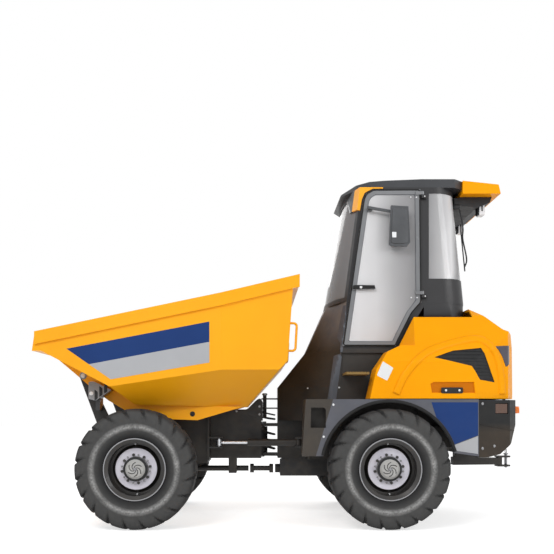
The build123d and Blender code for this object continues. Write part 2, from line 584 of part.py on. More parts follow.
with BuildPart() as cab_frame:
    add(cab_hull(0))
    add(cab_hull(CAB_WALL), mode=Mode.SUBTRACT)
    (foot_x, foot_z), (shelf_x, shelf_z) = BULKHEAD
    lower_side = [(-492, FLOOR_TOP), (-545, SILL_Z), (shelf_x - 40, SILL_Z), (shelf_x, shelf_z),
                  (foot_x, foot_z)]
    for y in (CAB_Y, CAB_WALL - CAB_Y):
        extrude(side_face(lower_side, y), amount=CAB_WALL)
    bulkhead = [(foot_x, foot_z), (shelf_x, shelf_z), (shelf_x - 22, shelf_z), (foot_x - 22, foot_z)]
    extrude(side_face(bulkhead, CAB_Y), amount=2 * CAB_Y)
    shelf = rectangle((-1800, SILL_Z - PLATE), (shelf_x, SILL_Z))
    shelf_plan = extrude(cab_section(CAB_LOW, 0), amount=-PLATE, mode=Mode.PRIVATE)
    add(extrude(side_face(shelf, CAB_Y), amount=2 * CAB_Y, mode=Mode.PRIVATE) & shelf_plan)
    extrude(side_face(windscreen_hole, WINDSCREEN_Y), amount=2 * WINDSCREEN_Y, mode=Mode.SUBTRACT)
    extrude(side_face(rear_hole, CAB_Y + 5), amount=2 * CAB_Y + 10, mode=Mode.SUBTRACT)
    for y in (CAB_Y + 5, -CAB_Y + CAB_WALL + 60):
        extrude(side_face(DOOR_HOLE, y), amount=CAB_WALL + 65, mode=Mode.SUBTRACT)
    hinge_x, hinge_y = DOOR_HINGE
    bracket = ((-1292, CAB_Y - 5), (-1292, 672), (-1258, 701), (-1246, hinge_y), (-1266, CAB_Y - 5))
    for side in (1, -1):
        for z in KNUCKLE_Z:
            extrude(plan_face(hinge_plan(bracket, side), z), amount=KNUCKLE_HEIGHT)
            extrude(disc_face(KNUCKLE_RADIUS, upright(hinge_x, side * hinge_y, z)), amount=KNUCKLE_HEIGHT)
            extrude(disc_face(DOOR_PIN_RADIUS, upright(hinge_x, side * hinge_y, z)),
                    amount=2 * KNUCKLE_HEIGHT)
save(cab_frame, "cab_frame")

GLASS_OUT, GLASS_IN = 6, 14
with BuildPart() as windscreen:
    add(cab_hull(GLASS_OUT))
    add(cab_hull(GLASS_IN), mode=Mode.SUBTRACT)
    extrude(side_face(windscreen_hole, WINDSCREEN_Y), amount=2 * WINDSCREEN_Y, mode=Mode.INTERSECT)
    keep_front = rectangle((-720, 2000), (0, 3200))
    extrude(side_face(keep_front, CAB_Y), amount=2 * CAB_Y, mode=Mode.INTERSECT)
save(windscreen, "windscreen")

with BuildPart() as rear_glass:
    add(cab_hull(GLASS_OUT))
    add(cab_hull(GLASS_IN), mode=Mode.SUBTRACT)
    extrude(side_face(rear_hole, CAB_Y), amount=2 * CAB_Y, mode=Mode.INTERSECT)
save(rear_glass, "rear_glass")

# ---------------------------------------------------------------- roof
ROOF_PROFILE = ((-520, CAB_TOP), (-530, 3170), (-640, 3194), (-900, 3216), (-1250, 3230),
                (-1650, 3230), (-1650, CAB_TOP))
CAP_WALL = 12
CORNER_CAP = ((-585, 3100), (-620, CAB_TOP), (-885, CAB_TOP), (-885, 3136), (-787, 3135), (-714, 3098),
              (-688, 3038), (-668, 2930), (-598, 2948))
with BuildPart() as cab_roof:
    extrude(side_face(ROOF_PROFILE, CAB_Y), amount=2 * CAB_Y)
    plan = mirrored([(-520, 300), (-650, 560), (-760, CAB_Y - 8), (-1560, CAB_Y - 8), (-1650, 560)])
    extrude(plan_face(plan, 3100), amount=200, mode=Mode.INTERSECT)
    with BuildPart():              # corner caps that wrap the tops of the front posts
        add(cab_hull(-CAP_WALL))
        add(cab_hull(0), mode=Mode.SUBTRACT)
        extrude(side_face(CORNER_CAP, 700), amount=1400, mode=Mode.INTERSECT)
save(cab_roof, "cab_roof")

ROOF_REAR_X = ROOF_PROFILE[-1][0]
VISOR = ((ROOF_REAR_X, 3232), (-1990, 3196), (-2010, 3110), (ROOF_REAR_X, 3110))
with BuildPart() as rear_visor:
    extrude(side_face(VISOR, 590), amount=1180)
save(rear_visor, "rear_visor")

with BuildPart() as visor_housing:
    housing = [(ROOF_REAR_X, 3110), (-1960, 3110), (-1945, 3060), (-1820, 3010), (-1640, 3030),
               (-1604, 3040), (-1596, 3100), (ROOF_REAR_X, 3100)]
    extrude(side_face(housing, 470), amount=940)
save(visor_housing, "visor_housing")

with BuildPart() as work_lamps:
    for y in (430, -330):
        lamp = [(-1905, 2950), (-1855, 2950), (-1855, 3024), (-1905, 3044)]
        extrude(side_face(lamp, y), amount=100)
save(work_lamps, "work_lamps")

# ---------------------------------------------------------------- doors
DOOR_IN, DOOR_OUT = CAB_Y + 6, CAB_Y + 30      # inner and outer face of each door leaf
DOOR_GLASS = ((-560, 1705), (-748, 3010), (-768, 3050), (-808, 3075), (-1182, 3077),
              (-1192, 2090), (-1104, 1975), (-978, 1720), (-970, 1705))
DOOR_PULL = ((-592, 2184), (-600, 2228), (-800, 2226), (-808, 2190))
PULL_DEPTH = 24
STRAP = ((-1185, DOOR_OUT - 1), (-1185, DOOR_OUT + 10), (-1240, 702), (-1250, 704),
         (-1250, DOOR_OUT + 2), (-1232, DOOR_OUT - 1))
for hand, side in SIDES:
    inner = side * DOOR_IN
    outer = side * DOOR_OUT
    with BuildPart() as leaf:
        extrude(side_face(DOOR_OUTLINE, max(inner, outer)), amount=DOOR_OUT - DOOR_IN)
        extrude(side_face(DOOR_GLASS, max(inner, outer) + 1), amount=DOOR_OUT - DOOR_IN + 2,
                mode=Mode.SUBTRACT)
        extrude(side_face(DOOR_PULL, max(outer, outer + side * PULL_DEPTH)), amount=PULL_DEPTH)
        for z in KNUCKLE_Z:
            knuckle = upright(hinge_x, side * hinge_y, z + KNUCKLE_HEIGHT + 1)
            extrude(plan_face(hinge_plan(STRAP, side), z + KNUCKLE_HEIGHT + 1), amount=KNUCKLE_HEIGHT)
            extrude(disc_face(KNUCKLE_RADIUS, knuckle), amount=KNUCKLE_HEIGHT)
            extrude(disc_face(DOOR_PIN_RADIUS + RUNNING_GAP, knuckle), amount=KNUCKLE_HEIGHT,
                    mode=Mode.SUBTRACT)
    save(leaf, f"door_{hand}")
    with BuildPart() as pane:
        middle = side * (DOOR_OUT - 12)
        extrude(side_face(DOOR_GLASS, middle + 4), amount=8)
    save(pane, f"door_glass_{hand}")
    with BuildPart() as mirror:
        face = [(-923, 2590), (-940, 2950), (-1100, 2940), (-1117, 2610), (-1090, 2575), (-950, 2575)]
        extrude(side_face(face, max(side * 740, side * 775)), amount=35)
        arm = [(-725, 2930), (-725, 2955), (-1010, 2905), (-1010, 2880)]
        extrude(side_face(arm, max(side * 722, side * 740)), amount=18)
        foot = rectangle((-775, 2915), (-735, 2950))
        extrude(side_face(foot, max(side * DOOR_OUT, side * 722)), amount=722 - DOOR_OUT)
    save(mirror, f"mirror_{hand}")

# ---------------------------------------------------------------- inside the cab
with BuildPart() as seat_base:
    foot = [(-900, FLOOR_TOP), (-1010, FLOOR_TOP), (-1196, 1950), (-900, 1950)]
    extrude(side_face(foot, 220), amount=440)
save(seat_base, "seat_base")

with BuildPart() as seat:
    cushion = [(-850, 1950), (-1196, 1950), (-1262, SILL_Z - PLATE), (-1262, SILL_Z),
               (-1330, SILL_Z), (-1420, 2700), (-1340, 2720), (-1235, 2120), (-860, 2075)]
    extrude(side_face(cushion, 245), amount=490)
save(seat, "seat")

with BuildPart() as console:
    box = [(-800, FLOOR_TOP), (-1010, FLOOR_TOP), (-1244, 2030), (-1230, 2100), (-860, 2100)]
    extrude(side_face(box, -400), amount=190)
save(console, "console")

COLUMN_FOOT, COLUMN_TOP = (-600, FLOOR_TOP), (-762, 2270)
column_rise = hypot(COLUMN_TOP[0] - COLUMN_FOOT[0], COLUMN_TOP[1] - COLUMN_FOOT[1])
column_dir = ((COLUMN_TOP[0] - COLUMN_FOOT[0]) / column_rise, 0,
              (COLUMN_TOP[1] - COLUMN_FOOT[1]) / column_rise)
column_foot = (COLUMN_FOOT[0], 0, COLUMN_FOOT[1])
STEER_WHEEL_RADIUS, GRIP_RADIUS = 185, 14
with BuildPart() as steering_column:
    extrude(disc_face(45, along(column_foot, column_dir, -15)), amount=column_rise + 15)
    extrude(disc_face(12, along(column_foot, column_dir, column_rise)), amount=40)
    under_floor = rectangle((-700, FLOOR_TOP - 60), (-500, FLOOR_TOP))
    extrude(side_face(under_floor, 100), amount=200, mode=Mode.SUBTRACT)
save(steering_column, "steering_column")

with BuildPart() as steering_wheel:
    rim_plane = along(column_foot, column_dir, column_rise + 34)
    with BuildSketch(Plane(rim_plane.origin, x_dir=rim_plane.x_dir, z_dir=rim_plane.y_dir)):
        with Locations((STEER_WHEEL_RADIUS, 0)):
            RegularPolygon(GRIP_RADIUS, 6)
    revolve(axis=Axis(rim_plane.origin, rim_plane.z_dir))
    hub_plane = along(column_foot, column_dir, column_rise + 4)
    extrude(disc_face(38, hub_plane), amount=44)
    with BuildSketch(along(column_foot, column_dir, column_rise + 28)):
        with PolarLocations(STEER_WHEEL_RADIUS / 2, 3):
            Rectangle(STEER_WHEEL_RADIUS - 8, 26)
    extrude(amount=10)
    extrude(disc_face(12 + RUNNING_GAP, hub_plane), amount=38, mode=Mode.SUBTRACT)
save(steering_wheel, "steering_wheel")

# ---------------------------------------------------------------- hood
HOOD_BOTTOM, HOOD_Y, HOOD_WALL = 1166, 1000, 18
CAB_BAY_Y, CAB_BAY_X = 712, -1705              # the hood's notch around the cab and its doors
HOOD_HINGE, HOOD_HINGE_Y, HOOD_PIN_RADIUS = (-2118, 1180), 360, 8
# the hood's relief under each open door: the plan foot line of its face, and the face's lean
RELIEF_FROM, RELIEF_TO = (-1020, 712), (-1140, 910)
RELIEF_Z, RELIEF_LEAN = 1650, 0.434
HOOD_PROFILE = ((-712, HOOD_BOTTOM), (-772, 1432), (-879, 1590), (-967, 1632), (-996, 1640),
                (-1021, 1684), (-1161, 1960), (-1250, 2010), (-1660, 2050), (-1827, 1928),
                (-1960, 1806), (-2060, 1762), (-2093, 1639), (-2106, 1216), (-2100, HOOD_BOTTOM))
HOOD_CROSS = ((HOOD_Y, HOOD_BOTTOM), (HOOD_Y, 1500), (700, 1945), (560, 2030), (0, 2056))
HOOD_PLAN = ((-650, HOOD_Y), (-1650, HOOD_Y), (-2000, 830), (-2120, 600))


def mirrored_yz(points):
    return list(points) + [(-y, z) for y, z in reversed(points[:-1])]


def relief_plane(side):
    """Upright plane on the relief's foot line; its normal points forwards and outboard."""
    (x0, y0), (x1, y1) = RELIEF_FROM, RELIEF_TO
    run = Vector(x1 - x0, y1 - y0).normalized()
    return Plane((x0, side * y0, 0), x_dir=(0, 0, 1), z_dir=(run.Y, -side * run.X, 0))


def door_relief(side, gap):
    """The space ahead of the relief's leaning face, grown by gap."""
    foot, top = RELIEF_Z - gap, 2200
    back = (top - foot) * RELIEF_LEAN
    face = relief_plane(side)
    corner = face.origin - face.z_dir * gap
    with BuildPart() as relief:
        with BuildSketch(Plane(corner, x_dir=face.z_dir, z_dir=face.z_dir.cross(Vector(0, 0, 1)))):
            with BuildLine():
                Polyline((0, foot), (400, foot), (400, top), (-back, top), close=True)
            make_face()
        extrude(amount=600, both=True)
    return relief.part


def hood_form(inset, drop=0):
    """The hood's outer form drawn in by inset, relieved for the doors; drop lowers its open bottom."""
    profile = [(x, z - (drop if z == HOOD_BOTTOM else 0)) for x, z in HOOD_PROFILE]
    cross = [(y, z - (drop if z == HOOD_BOTTOM else 0)) for y, z in HOOD_CROSS]
    with BuildPart() as form:
        for plane, points, reach in ((Plane.XZ.offset(-1200), profile, 2400),
                                     (Plane.YZ.offset(-2300), mirrored_yz(cross), 1800),
                                     (Plane.XY.offset(900), mirrored(HOOD_PLAN), 1300)):
            with BuildSketch(plane):
                with BuildLine():
                    Polyline(*points, close=True)
                make_face()
                if inset:
                    offset(amount=-inset, kind=Kind.INTERSECTION)
            extrude(amount=reach, mode=Mode.ADD if plane.z_dir.Y else Mode.INTERSECT)
        for side in (1, -1):
            add(door_relief(side, inset), mode=Mode.SUBTRACT)
    return form.part


FLANK_GRILLE = ((-1290, 1536), (-1469, 1599), (-1727, 1625), (-1856, 1313), (-1700, 1335),
                (-1620, 1456))
REAR_GRILLE = ((430, 1250), (430, 1640), (-430, 1640), (-430, 1250))
LATCH_RECESS = ((-1264, 1216), (-1250, 1300), (-1280, 1314), (-1640, 1314), (-1652, 1216))
LATCH_DEPTH = 12
SLAT_PITCH, SLAT_GAP = 30, 14
with BuildPart() as hood_shell:
    add(hood_form(0))
    add(hood_form(HOOD_WALL, drop=60), mode=Mode.SUBTRACT)
    bay = rectangle((CAB_BAY_X, 1000), (-600, 2200))
    extrude(side_face(bay, CAB_BAY_Y), amount=2 * CAB_BAY_Y, mode=Mode.SUBTRACT)
    for y in (1100, -700):
        extrude(side_face(FLANK_GRILLE, y), amount=400, mode=Mode.SUBTRACT)
    extrude(cross_face(REAR_GRILLE, -2200), amount=150, mode=Mode.SUBTRACT)
    for y in (HOOD_Y, LATCH_DEPTH - HOOD_Y):
        extrude(side_face(LATCH_RECESS, y), amount=LATCH_DEPTH, mode=Mode.SUBTRACT)

with BuildPart() as hood_shoulders:
    for side in (1, -1):
        add(split(hood_shell.part, bisect_by=relief_plane(side), keep=Keep.TOP, mode=Mode.PRIVATE))
save(hood_shoulders, "hood_shoulders")

with BuildPart() as hood:
    add(hood_shell)
    for side in (1, -1):
        split(bisect_by=relief_plane(side), keep=Keep.BOTTOM)
    hinge_x, hinge_z = HOOD_HINGE
    strap = [(-2104, 1200), (-2104, 1244), (-2120, 1240), (hinge_x - 14, hinge_z + 2), HOOD_HINGE,
             (-2108, 1196)]
    for middle in (-HOOD_HINGE_Y, HOOD_HINGE_Y):
        extrude(side_face(strap, middle + 8), amount=16)
        extrude(disc_face(14, crosswise(hinge_x, middle - 8, hinge_z)), amount=16)
        extrude(disc_face(HOOD_PIN_RADIUS + RUNNING_GAP, crosswise(hinge_x, middle - 8, hinge_z)),
                amount=16, mode=Mode.SUBTRACT)
save(hood, "hood")

with BuildPart() as hood_grilles:
    add(hood_form(6))
    add(hood_form(14), mode=Mode.SUBTRACT)
    with BuildPart(mode=Mode.INTERSECT):
        for y in (1100, -700):
            extrude(side_face(FLANK_GRILLE, y), amount=400)
        extrude(cross_face(REAR_GRILLE, -2200), amount=150)
    for n in range(12):
        slot_z = 1272 + SLAT_PITCH * n
        slot = [(400, slot_z), (400, slot_z + SLAT_GAP), (-400, slot_z + SLAT_GAP), (-400, slot_z)]
        extrude(cross_face(slot, -2200), amount=150, mode=Mode.SUBTRACT)
save(hood_grilles, "hood_grilles")

# ---------------------------------------------------------------- fenders, steps, rear end
FENDER_TOP, FENDER_OUT, FENDER_REAR_X = 1160, 1010, -1680
ARCH_RADIUS = 592
with BuildPart() as fenders:
    for side in (1, -1):
        top = rectangle((FENDER_REAR_X, FENDER_TOP - 25), (-140, FENDER_TOP))
        extrude(side_face(top, max(side * BASE_Y, side * FENDER_OUT)), amount=FENDER_OUT - BASE_Y)
        skirt = [(-140, FENDER_TOP), (FENDER_REAR_X, FENDER_TOP), (FENDER_REAR_X, 650),
                 (-1400, 690), (-1300, 900), (-500, 900), (-400, 655), (-105, 650)]
        extrude(side_face(skirt, max(side * FENDER_OUT, side * (FENDER_OUT - PLATE))), amount=PLATE)
        front = [(-120, 650), (-140, 650), (-160, FENDER_TOP), (-140, FENDER_TOP)]
        extrude(side_face(front, max(side * BASE_Y, side * FENDER_OUT)), amount=FENDER_OUT - BASE_Y)
    arch = crosswise(REAR_AXLE_X, -1100, WHEEL_RADIUS)
    extrude(disc_face(ARCH_RADIUS, arch), amount=2200, mode=Mode.SUBTRACT)
    foothold = [(-182, 905), (-186, 1085), (-302, 1085), (-318, 1068), (-318, 905)]
    extrude(side_face(foothold, FENDER_OUT + 10), amount=2 * FENDER_OUT + 20, mode=Mode.SUBTRACT)
save(fenders, "fenders")

STEP_REAR_X = -718                 # clear of the hood's lower corner as it tips back
STEP_TEETH, STEP_PITCH = 8, 26
with BuildPart() as steps:
    for side in (1, -1):
        teeth = []
        for n in range(STEP_TEETH):
            tooth_x = STEP_REAR_X + n * STEP_PITCH
            teeth += [(tooth_x, 1396), (tooth_x + 4, 1408), (tooth_x + STEP_PITCH - 4, 1408)]
        tread = [(STEP_REAR_X, 1385), *teeth, (STEP_REAR_X + STEP_TEETH * STEP_PITCH, 1396),
                 (STEP_REAR_X + STEP_TEETH * STEP_PITCH, 1385)]
        extrude(side_face(tread, max(side * BASE_Y, side * 930)), amount=930 - BASE_Y)
save(steps, "steps")

BUMPER_TOP, BUMPER_BOTTOM = 1155, 640
BUMPER_FACE = ((-2100, BUMPER_TOP), (-2112, 980))
BUMPER_CORNER = ((FENDER_REAR_X, HOOD_Y), (-2000, 880))
LAMP_X, LAMP_Z, LAMP_LENGTH, LAMP_HEIGHT, LAMP_POCKET = -1916, 1077, 140, 96, 22


def corner_plane(side, depth=0):
    """Plane on the bumper's slanted flank at the corner lamp, sunk by depth; its normal points out."""
    (x0, y0), (x1, y1) = BUMPER_CORNER
    run = Vector(x1 - x0, y1 - y0).normalized()
    lamp_y = y0 + (y1 - y0) * (LAMP_X - x0) / (x1 - x0)
    normal = Vector(run.Y, -run.X)
    return Plane((LAMP_X - depth * normal.X, side * (lamp_y - depth * normal.Y), LAMP_Z),
                 x_dir=(run.X, side * run.Y, 0), z_dir=(normal.X, side * normal.Y, 0))


with BuildPart() as bumper:
    profile = [(FENDER_REAR_X, BUMPER_TOP), *BUMPER_FACE, (-2020, 760),
               (-1900, 665), (-1780, BUMPER_BOTTOM), (FENDER_REAR_X, BUMPER_BOTTOM)]
    extrude(side_face(profile, HOOD_Y), amount=2 * HOOD_Y)
    plan = mirrored([*BUMPER_CORNER, (-2090, 760), (-2112, 600)])
    extrude(plan_face(plan, 600), amount=600, mode=Mode.INTERSECT)
    for side in (1, -1):           # pockets of the corner lamps
        with BuildSketch(corner_plane(side)):
            Rectangle(LAMP_LENGTH, LAMP_HEIGHT)
        extrude(amount=-LAMP_POCKET, mode=Mode.SUBTRACT)
    well = rectangle((RAIL_END_X, AXLE_PAD_TOP), (FENDER_REAR_X + 5, BUMPER_TOP + 5))
    extrude(side_face(well, 560), amount=1120, mode=Mode.SUBTRACT)
    hinge_x, hinge_z = HOOD_HINGE
    foot = [(-2070, BUMPER_TOP - 5), (-2070, BUMPER_TOP + 5), (-2101, BUMPER_TOP + 5),
            (hinge_x + 10, hinge_z - 8), HOOD_HINGE, (hinge_x - 13, hinge_z - 4),
            (-2108, BUMPER_TOP - 5)]
    for middle in (-HOOD_HINGE_Y, HOOD_HINGE_Y):
        for y in (middle - 10, middle + 22):
            extrude(side_face(foot, y), amount=12)
            extrude(disc_face(14, crosswise(hinge_x, y - 12, hinge_z)), amount=12)
        extrude(disc_face(HOOD_PIN_RADIUS, crosswise(hinge_x, middle - 22, hinge_z)), amount=44)
save(bumper, "bumper")


def bumper_rear_x(z):
    """X of the bumper's sloping rear face at height z."""
    (top_x, top_z), (knee_x, knee_z) = BUMPER_FACE
    return knee_x + (top_x - knee_x) * (z - knee_z) / (top_z - knee_z)


with BuildPart() as tail_lamps:
    for side in (1, -1):
        lamp = [(bumper_rear_x(1010), 1010), (bumper_rear_x(1110), 1110),
                (bumper_rear_x(1110) - 25, 1110), (bumper_rear_x(1010) - 25, 1010)]
        extrude(side_face(lamp, max(side * 400, side * 590)), amount=190)
        with BuildSketch(corner_plane(side, depth=LAMP_POCKET)):
            Rectangle(LAMP_LENGTH - 12, LAMP_HEIGHT - 12)
        extrude(amount=LAMP_POCKET - 6)
save(tail_lamps, "tail_lamps")

HITCH_Z, JAW_X = 543, -2250
with BuildPart() as hitch:
    bar = [(-1700, 585), (-2180, 575), (-2180, 510), (-1700, 505)]
    extrude(side_face(bar, 55), amount=110)
    hanger = rectangle((-1950, 580), (-1720, BUMPER_BOTTOM))
    extrude(side_face(hanger, 55), amount=110)
    for low in (HITCH_Z + 38, HITCH_Z - 54):
        jaw = mirrored([(-2150, 55), (JAW_X, 45)])
        extrude(plan_face(jaw, low), amount=16)
        extrude(disc_face(45, upright(JAW_X, 0, low)), amount=16)
    back = rectangle((-2195, HITCH_Z - 54), (-2165, HITCH_Z + 54))
    extrude(side_face(back, 55), amount=110)
    extrude(disc_face(16, upright(JAW_X, 0, 400)), amount=300, mode=Mode.SUBTRACT)
save(hitch, "hitch")
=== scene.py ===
"""The site dumper's looks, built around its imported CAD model. Metres; +X forwards, +Y left, +Z up."""

from math import copysign, cos, exp, pi, radians, sin, sqrt

import bmesh
import bpy
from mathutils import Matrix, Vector
from mathutils.bvhtree import BVHTree


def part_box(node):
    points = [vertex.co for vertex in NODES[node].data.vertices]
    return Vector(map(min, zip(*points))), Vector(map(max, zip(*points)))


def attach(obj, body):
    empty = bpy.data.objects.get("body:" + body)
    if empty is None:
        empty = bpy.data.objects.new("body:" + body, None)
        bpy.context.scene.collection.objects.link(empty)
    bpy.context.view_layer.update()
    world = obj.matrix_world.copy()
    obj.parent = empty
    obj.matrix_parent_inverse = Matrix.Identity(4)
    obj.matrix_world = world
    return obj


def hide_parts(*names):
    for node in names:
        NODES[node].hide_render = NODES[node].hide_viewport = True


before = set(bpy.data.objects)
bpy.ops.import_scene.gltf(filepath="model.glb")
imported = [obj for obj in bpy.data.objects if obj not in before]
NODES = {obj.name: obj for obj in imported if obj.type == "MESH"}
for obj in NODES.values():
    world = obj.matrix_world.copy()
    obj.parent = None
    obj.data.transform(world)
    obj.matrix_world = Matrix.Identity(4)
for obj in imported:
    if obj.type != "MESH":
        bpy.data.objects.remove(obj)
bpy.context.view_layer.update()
SIDES = (("left", 1), ("right", -1))
WHEELS = [(end, hand, side) for end in ("front", "rear") for hand, side in SIDES]


def middle_of(node):
    low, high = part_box(node)
    return (low + high) / 2


# ---------------------------------------------------------------- materials
def srgb(*channels):
    """An 8-bit screen colour as a linear one with alpha."""
    linear = [(c / 255 / 12.92) if c < 11 else ((c / 255 + 0.055) / 1.055) ** 2.4 for c in channels]
    return (*linear, 1.0)


class Nodes:
    """A node tree, with short calls that make nodes and join them."""

    def __init__(self, tree):
        self.tree = tree

    def feed(self, socket, value):
        """Links the socket to another one, or gives it a constant."""
        if isinstance(value, bpy.types.NodeSocket):
            self.tree.links.new(value, socket)
        else:
            socket.default_value = value

    def add(self, kind, inputs, **settings):
        """A node with those settings, and inputs by the names or numbers of its sockets."""
        node = self.tree.nodes.new(f"ShaderNode{kind}")
        for key, value in settings.items():
            setattr(node, key, value)
        for key, value in inputs.items():
            self.feed(node.inputs[key], value)
        return node

    def ramp(self, value, low, high, start=0.0, end=1.0):
        node = self.add("MapRange", {"Value": value, "From Min": low, "From Max": high, "To Min": start,
                                     "To Max": end})
        return node.outputs["Result"]

    def math(self, operation, *values):
        return self.add("Math", dict(enumerate(values)), operation=operation).outputs["Value"]

    def seen_directly(self, hidden, shown):
        """A value that is `shown` to the camera, in reflections and through glass, and else `hidden`."""
        rays = self.add("LightPath", {}).outputs
        seen = self.math("MAXIMUM", rays["Is Camera Ray"], rays["Is Glossy Ray"])
        seen = self.math("MAXIMUM", seen, rays["Is Transmission Ray"])
        return self.ramp(seen, 0.0, 1.0, hidden, shown)


class Shader(Nodes):
    """The nodes of one material, with short calls for those that the looks share.

    A tone is a socket, an 8-bit (red, green, blue), or a linear colour with alpha."""

    def __init__(self, name, roughness=0.5, metallic=0.0, specular=0.5, coat=0.0):
        self.material = bpy.data.materials.new(name)
        self.material.use_nodes = True
        super().__init__(self.material.node_tree)
        self.surface = self.tree.nodes["Principled BSDF"].inputs
        for key, value in (("Roughness", roughness), ("Metallic", metallic), ("Specular IOR Level", specular),
                           ("Coat Weight", coat)):
            self.feed(self.surface[key], value)
        self.place = self.add("TexCoord", {}).outputs["Object"]
        self.x, self.y, self.z = self.add("SeparateXYZ", {"Vector": self.place}).outputs

    def noise(self, scale, detail=4.0, stretch=None):
        place = self.place
        if stretch:
            place = self.add("Mapping", {"Vector": place, "Scale": stretch}).outputs["Vector"]
        values = {"Vector": place, "Scale": scale, "Detail": detail, "Roughness": 0.55}
        return self.add("TexNoise", values).outputs["Fac"]

    def mix(self, factor, first, second):
        node = self.add("Mix", {}, data_type="RGBA")
        sockets = {socket.name: socket for socket in node.inputs if socket.enabled}
        for key, value in (("Factor", factor), ("A", first), ("B", second)):
            eight_bit = isinstance(value, tuple) and len(value) == 3
            self.feed(sockets[key], srgb(*value) if eight_bit else value)
        return [socket for socket in node.outputs if socket.enabled][0]

    def blend(self, scale, first, second, low=0.3, high=0.7):
        """Two tones mixed by a noise of that scale."""
        return self.mix(self.ramp(self.noise(scale), low, high), first, second)

    def times(self, first, second):
        return self.math("MULTIPLY", first, second)

    def within(self, value, low, high):
        """1 where the value lies between low and high, else 0."""
        return self.times(self.math("GREATER_THAN", value, low), self.math("LESS_THAN", value, high))

    def radius(self, x=0.0, z=0.0):
        """Distance from the crosswise axis through (x, z)."""
        flat = self.add("VectorMath", {0: self.place, 1: (1, 0, 1)}, operation="MULTIPLY").outputs["Vector"]
        return self.add("VectorMath", {0: flat, 1: (x, 0, z)}, operation="DISTANCE").outputs["Value"]

    def colour(self, value):
        self.feed(self.surface["Base Color"], value)

    def rough(self, value):
        self.feed(self.surface["Roughness"], value)

    def bump(self, value, depth, strength):
        """Ends the material with a relief of that depth in metres."""
        node = self.add("Bump", {"Strength": strength, "Distance": depth, "Height": value})
        self.feed(self.surface["Normal"], node.outputs["Normal"])
        return self.material

    def dusted(self, tone, amount):
        """The tone with dust over it that thickens downwards."""
        fall = self.ramp(self.z, 0.6, 1.7, amount, 0.0)
        return self.mix(self.times(fall, self.ramp(self.noise(9.0, 6.0), 0.3, 0.7)), tone, DUST)


def sprayed(shader, tone, dust, roughness):
    """Finishes a paint: dust, uneven gloss and fine orange peel."""
    shader.colour(shader.dusted(tone, dust))
    shader.rough(shader.ramp(shader.noise(14.0, 3.0), 0.3, 0.7, roughness - 0.05, roughness + 0.08))
    return shader.bump(shader.noise(420.0, 2.0), 0.0002, 0.25)


def paint(name, base, shade, roughness, coat, dust, specular):
    """Sprayed paint with broad tone changes."""
    shader = Shader(name, roughness=roughness, coat=coat, specular=specular)
    return sprayed(shader, shader.blend(1.7, base, shade, 0.3, 0.75), dust, roughness)


def plastic(name, base, shade, roughness=0.6, grain=900.0, depth=0.0003):
    """Moulded plastic: a fine pebble grain and faint tone changes."""
    shader = Shader(name, roughness=roughness, specular=0.35)
    shader.colour(shader.blend(5.0, base, shade))
    shader.rough(shader.ramp(shader.noise(20.0), 0.3, 0.7, roughness - 0.08, roughness + 0.08))
    return shader.bump(shader.noise(grain, 2.0), depth, 0.5)


def bare_metal(name, base, roughness):
    """Turned or drawn steel with fine lines across it."""
    shader = Shader(name, roughness=roughness, metallic=1.0)
    lines = shader.noise(30.0, 3.0, (4.0, 300.0, 4.0))
    dark = (*(0.75 * c for c in srgb(*base)[:3]), 1.0)
    shader.colour(shader.mix(shader.ramp(lines, 0.3, 0.7), base, dark))
    shader.rough(shader.ramp(lines, 0.3, 0.7, roughness, roughness + 0.2))
    return shader.bump(lines, 0.0001, 0.3)


def casting(name, base, shade):
    """Painted cast iron: a coarse skin with dust in it."""
    shader = Shader(name, roughness=0.6, specular=0.4)
    shader.colour(shader.mix(shader.ramp(shader.noise(12.0, 6.0), 0.4, 0.75), base, shade))
    return shader.bump(shader.noise(160.0, 5.0), 0.0012, 0.6)


def glass(name, bands, alpha, axis="x", specular=0.5):
    """Cab glass with painted reflections of the studio: grey tones (place, grey) along an axis, over a clear
    pane.
    """
    shader = Shader(name, roughness=0.05, specular=specular)
    along = getattr(shader, axis)
    wave = shader.times(shader.math("SUBTRACT", shader.noise(1.6, 2.0), 0.5), 0.12)
    along = shader.math("ADD", along, wave)
    # the grey bands are painted reflections, waved a little by noise
    (first, grey), *rest = bands
    tone = (grey, grey, grey + 2)
    for place, grey in rest:
        tone = shader.mix(shader.ramp(along, first, place), tone, (grey, grey, grey + 2))
        first = place
    shader.colour(tone)
    shader.feed(shader.surface["Alpha"], alpha)
    return shader.material


def tyre_rubber():
    """Dusty rubber: grey sidewalls with a soft pale rubbing ring; the outermost rubber is lighter, partly
    dust and partly painted highlight, so the set-back grooves between the lugs stay darker as painted shade.
    """
    shader = Shader("tyre_rubber", roughness=0.8, specular=0.25)
    radius = shader.radius()
    speckle = shader.ramp(shader.noise(26.0, 6.0), 0.3, 0.7)
    tone = shader.mix(speckle, (40, 40, 41), (64, 64, 64))
    # partly dust, partly painted highlight: the rubber that stands out furthest, the sidewall's face and the
    # lug shoulders, is lighter, and the set-back grooves stay darker as painted shade
    outer = shader.ramp(shader.math("ABSOLUTE", shader.y), 0.165, 0.19)
    tone = shader.mix(shader.times(outer, 0.4), tone, (92, 92, 91))
    rise, fall = shader.ramp(radius, 0.345, 0.372), shader.ramp(radius, 0.378, 0.412, 1.0, 0.0)
    worn = shader.times(shader.ramp(shader.noise(5.0, 5.0), 0.3, 0.65, 0.35, 1.0),
                       shader.ramp(shader.noise(55.0, 4.0), 0.35, 0.6, 0.45, 1.0))
    ring = shader.times(shader.times(rise, fall), worn)
    tone = shader.mix(ring, tone, (168, 168, 167))
    tone = shader.mix(shader.ramp(radius, 0.345, 0.285), tone, (38, 38, 39))
    shader.colour(tone)
    shader.rough(shader.ramp(speckle, 0.0, 1.0, 0.72, 0.9))
    return shader.bump(shader.noise(240.0, 4.0), 0.0008, 0.6)


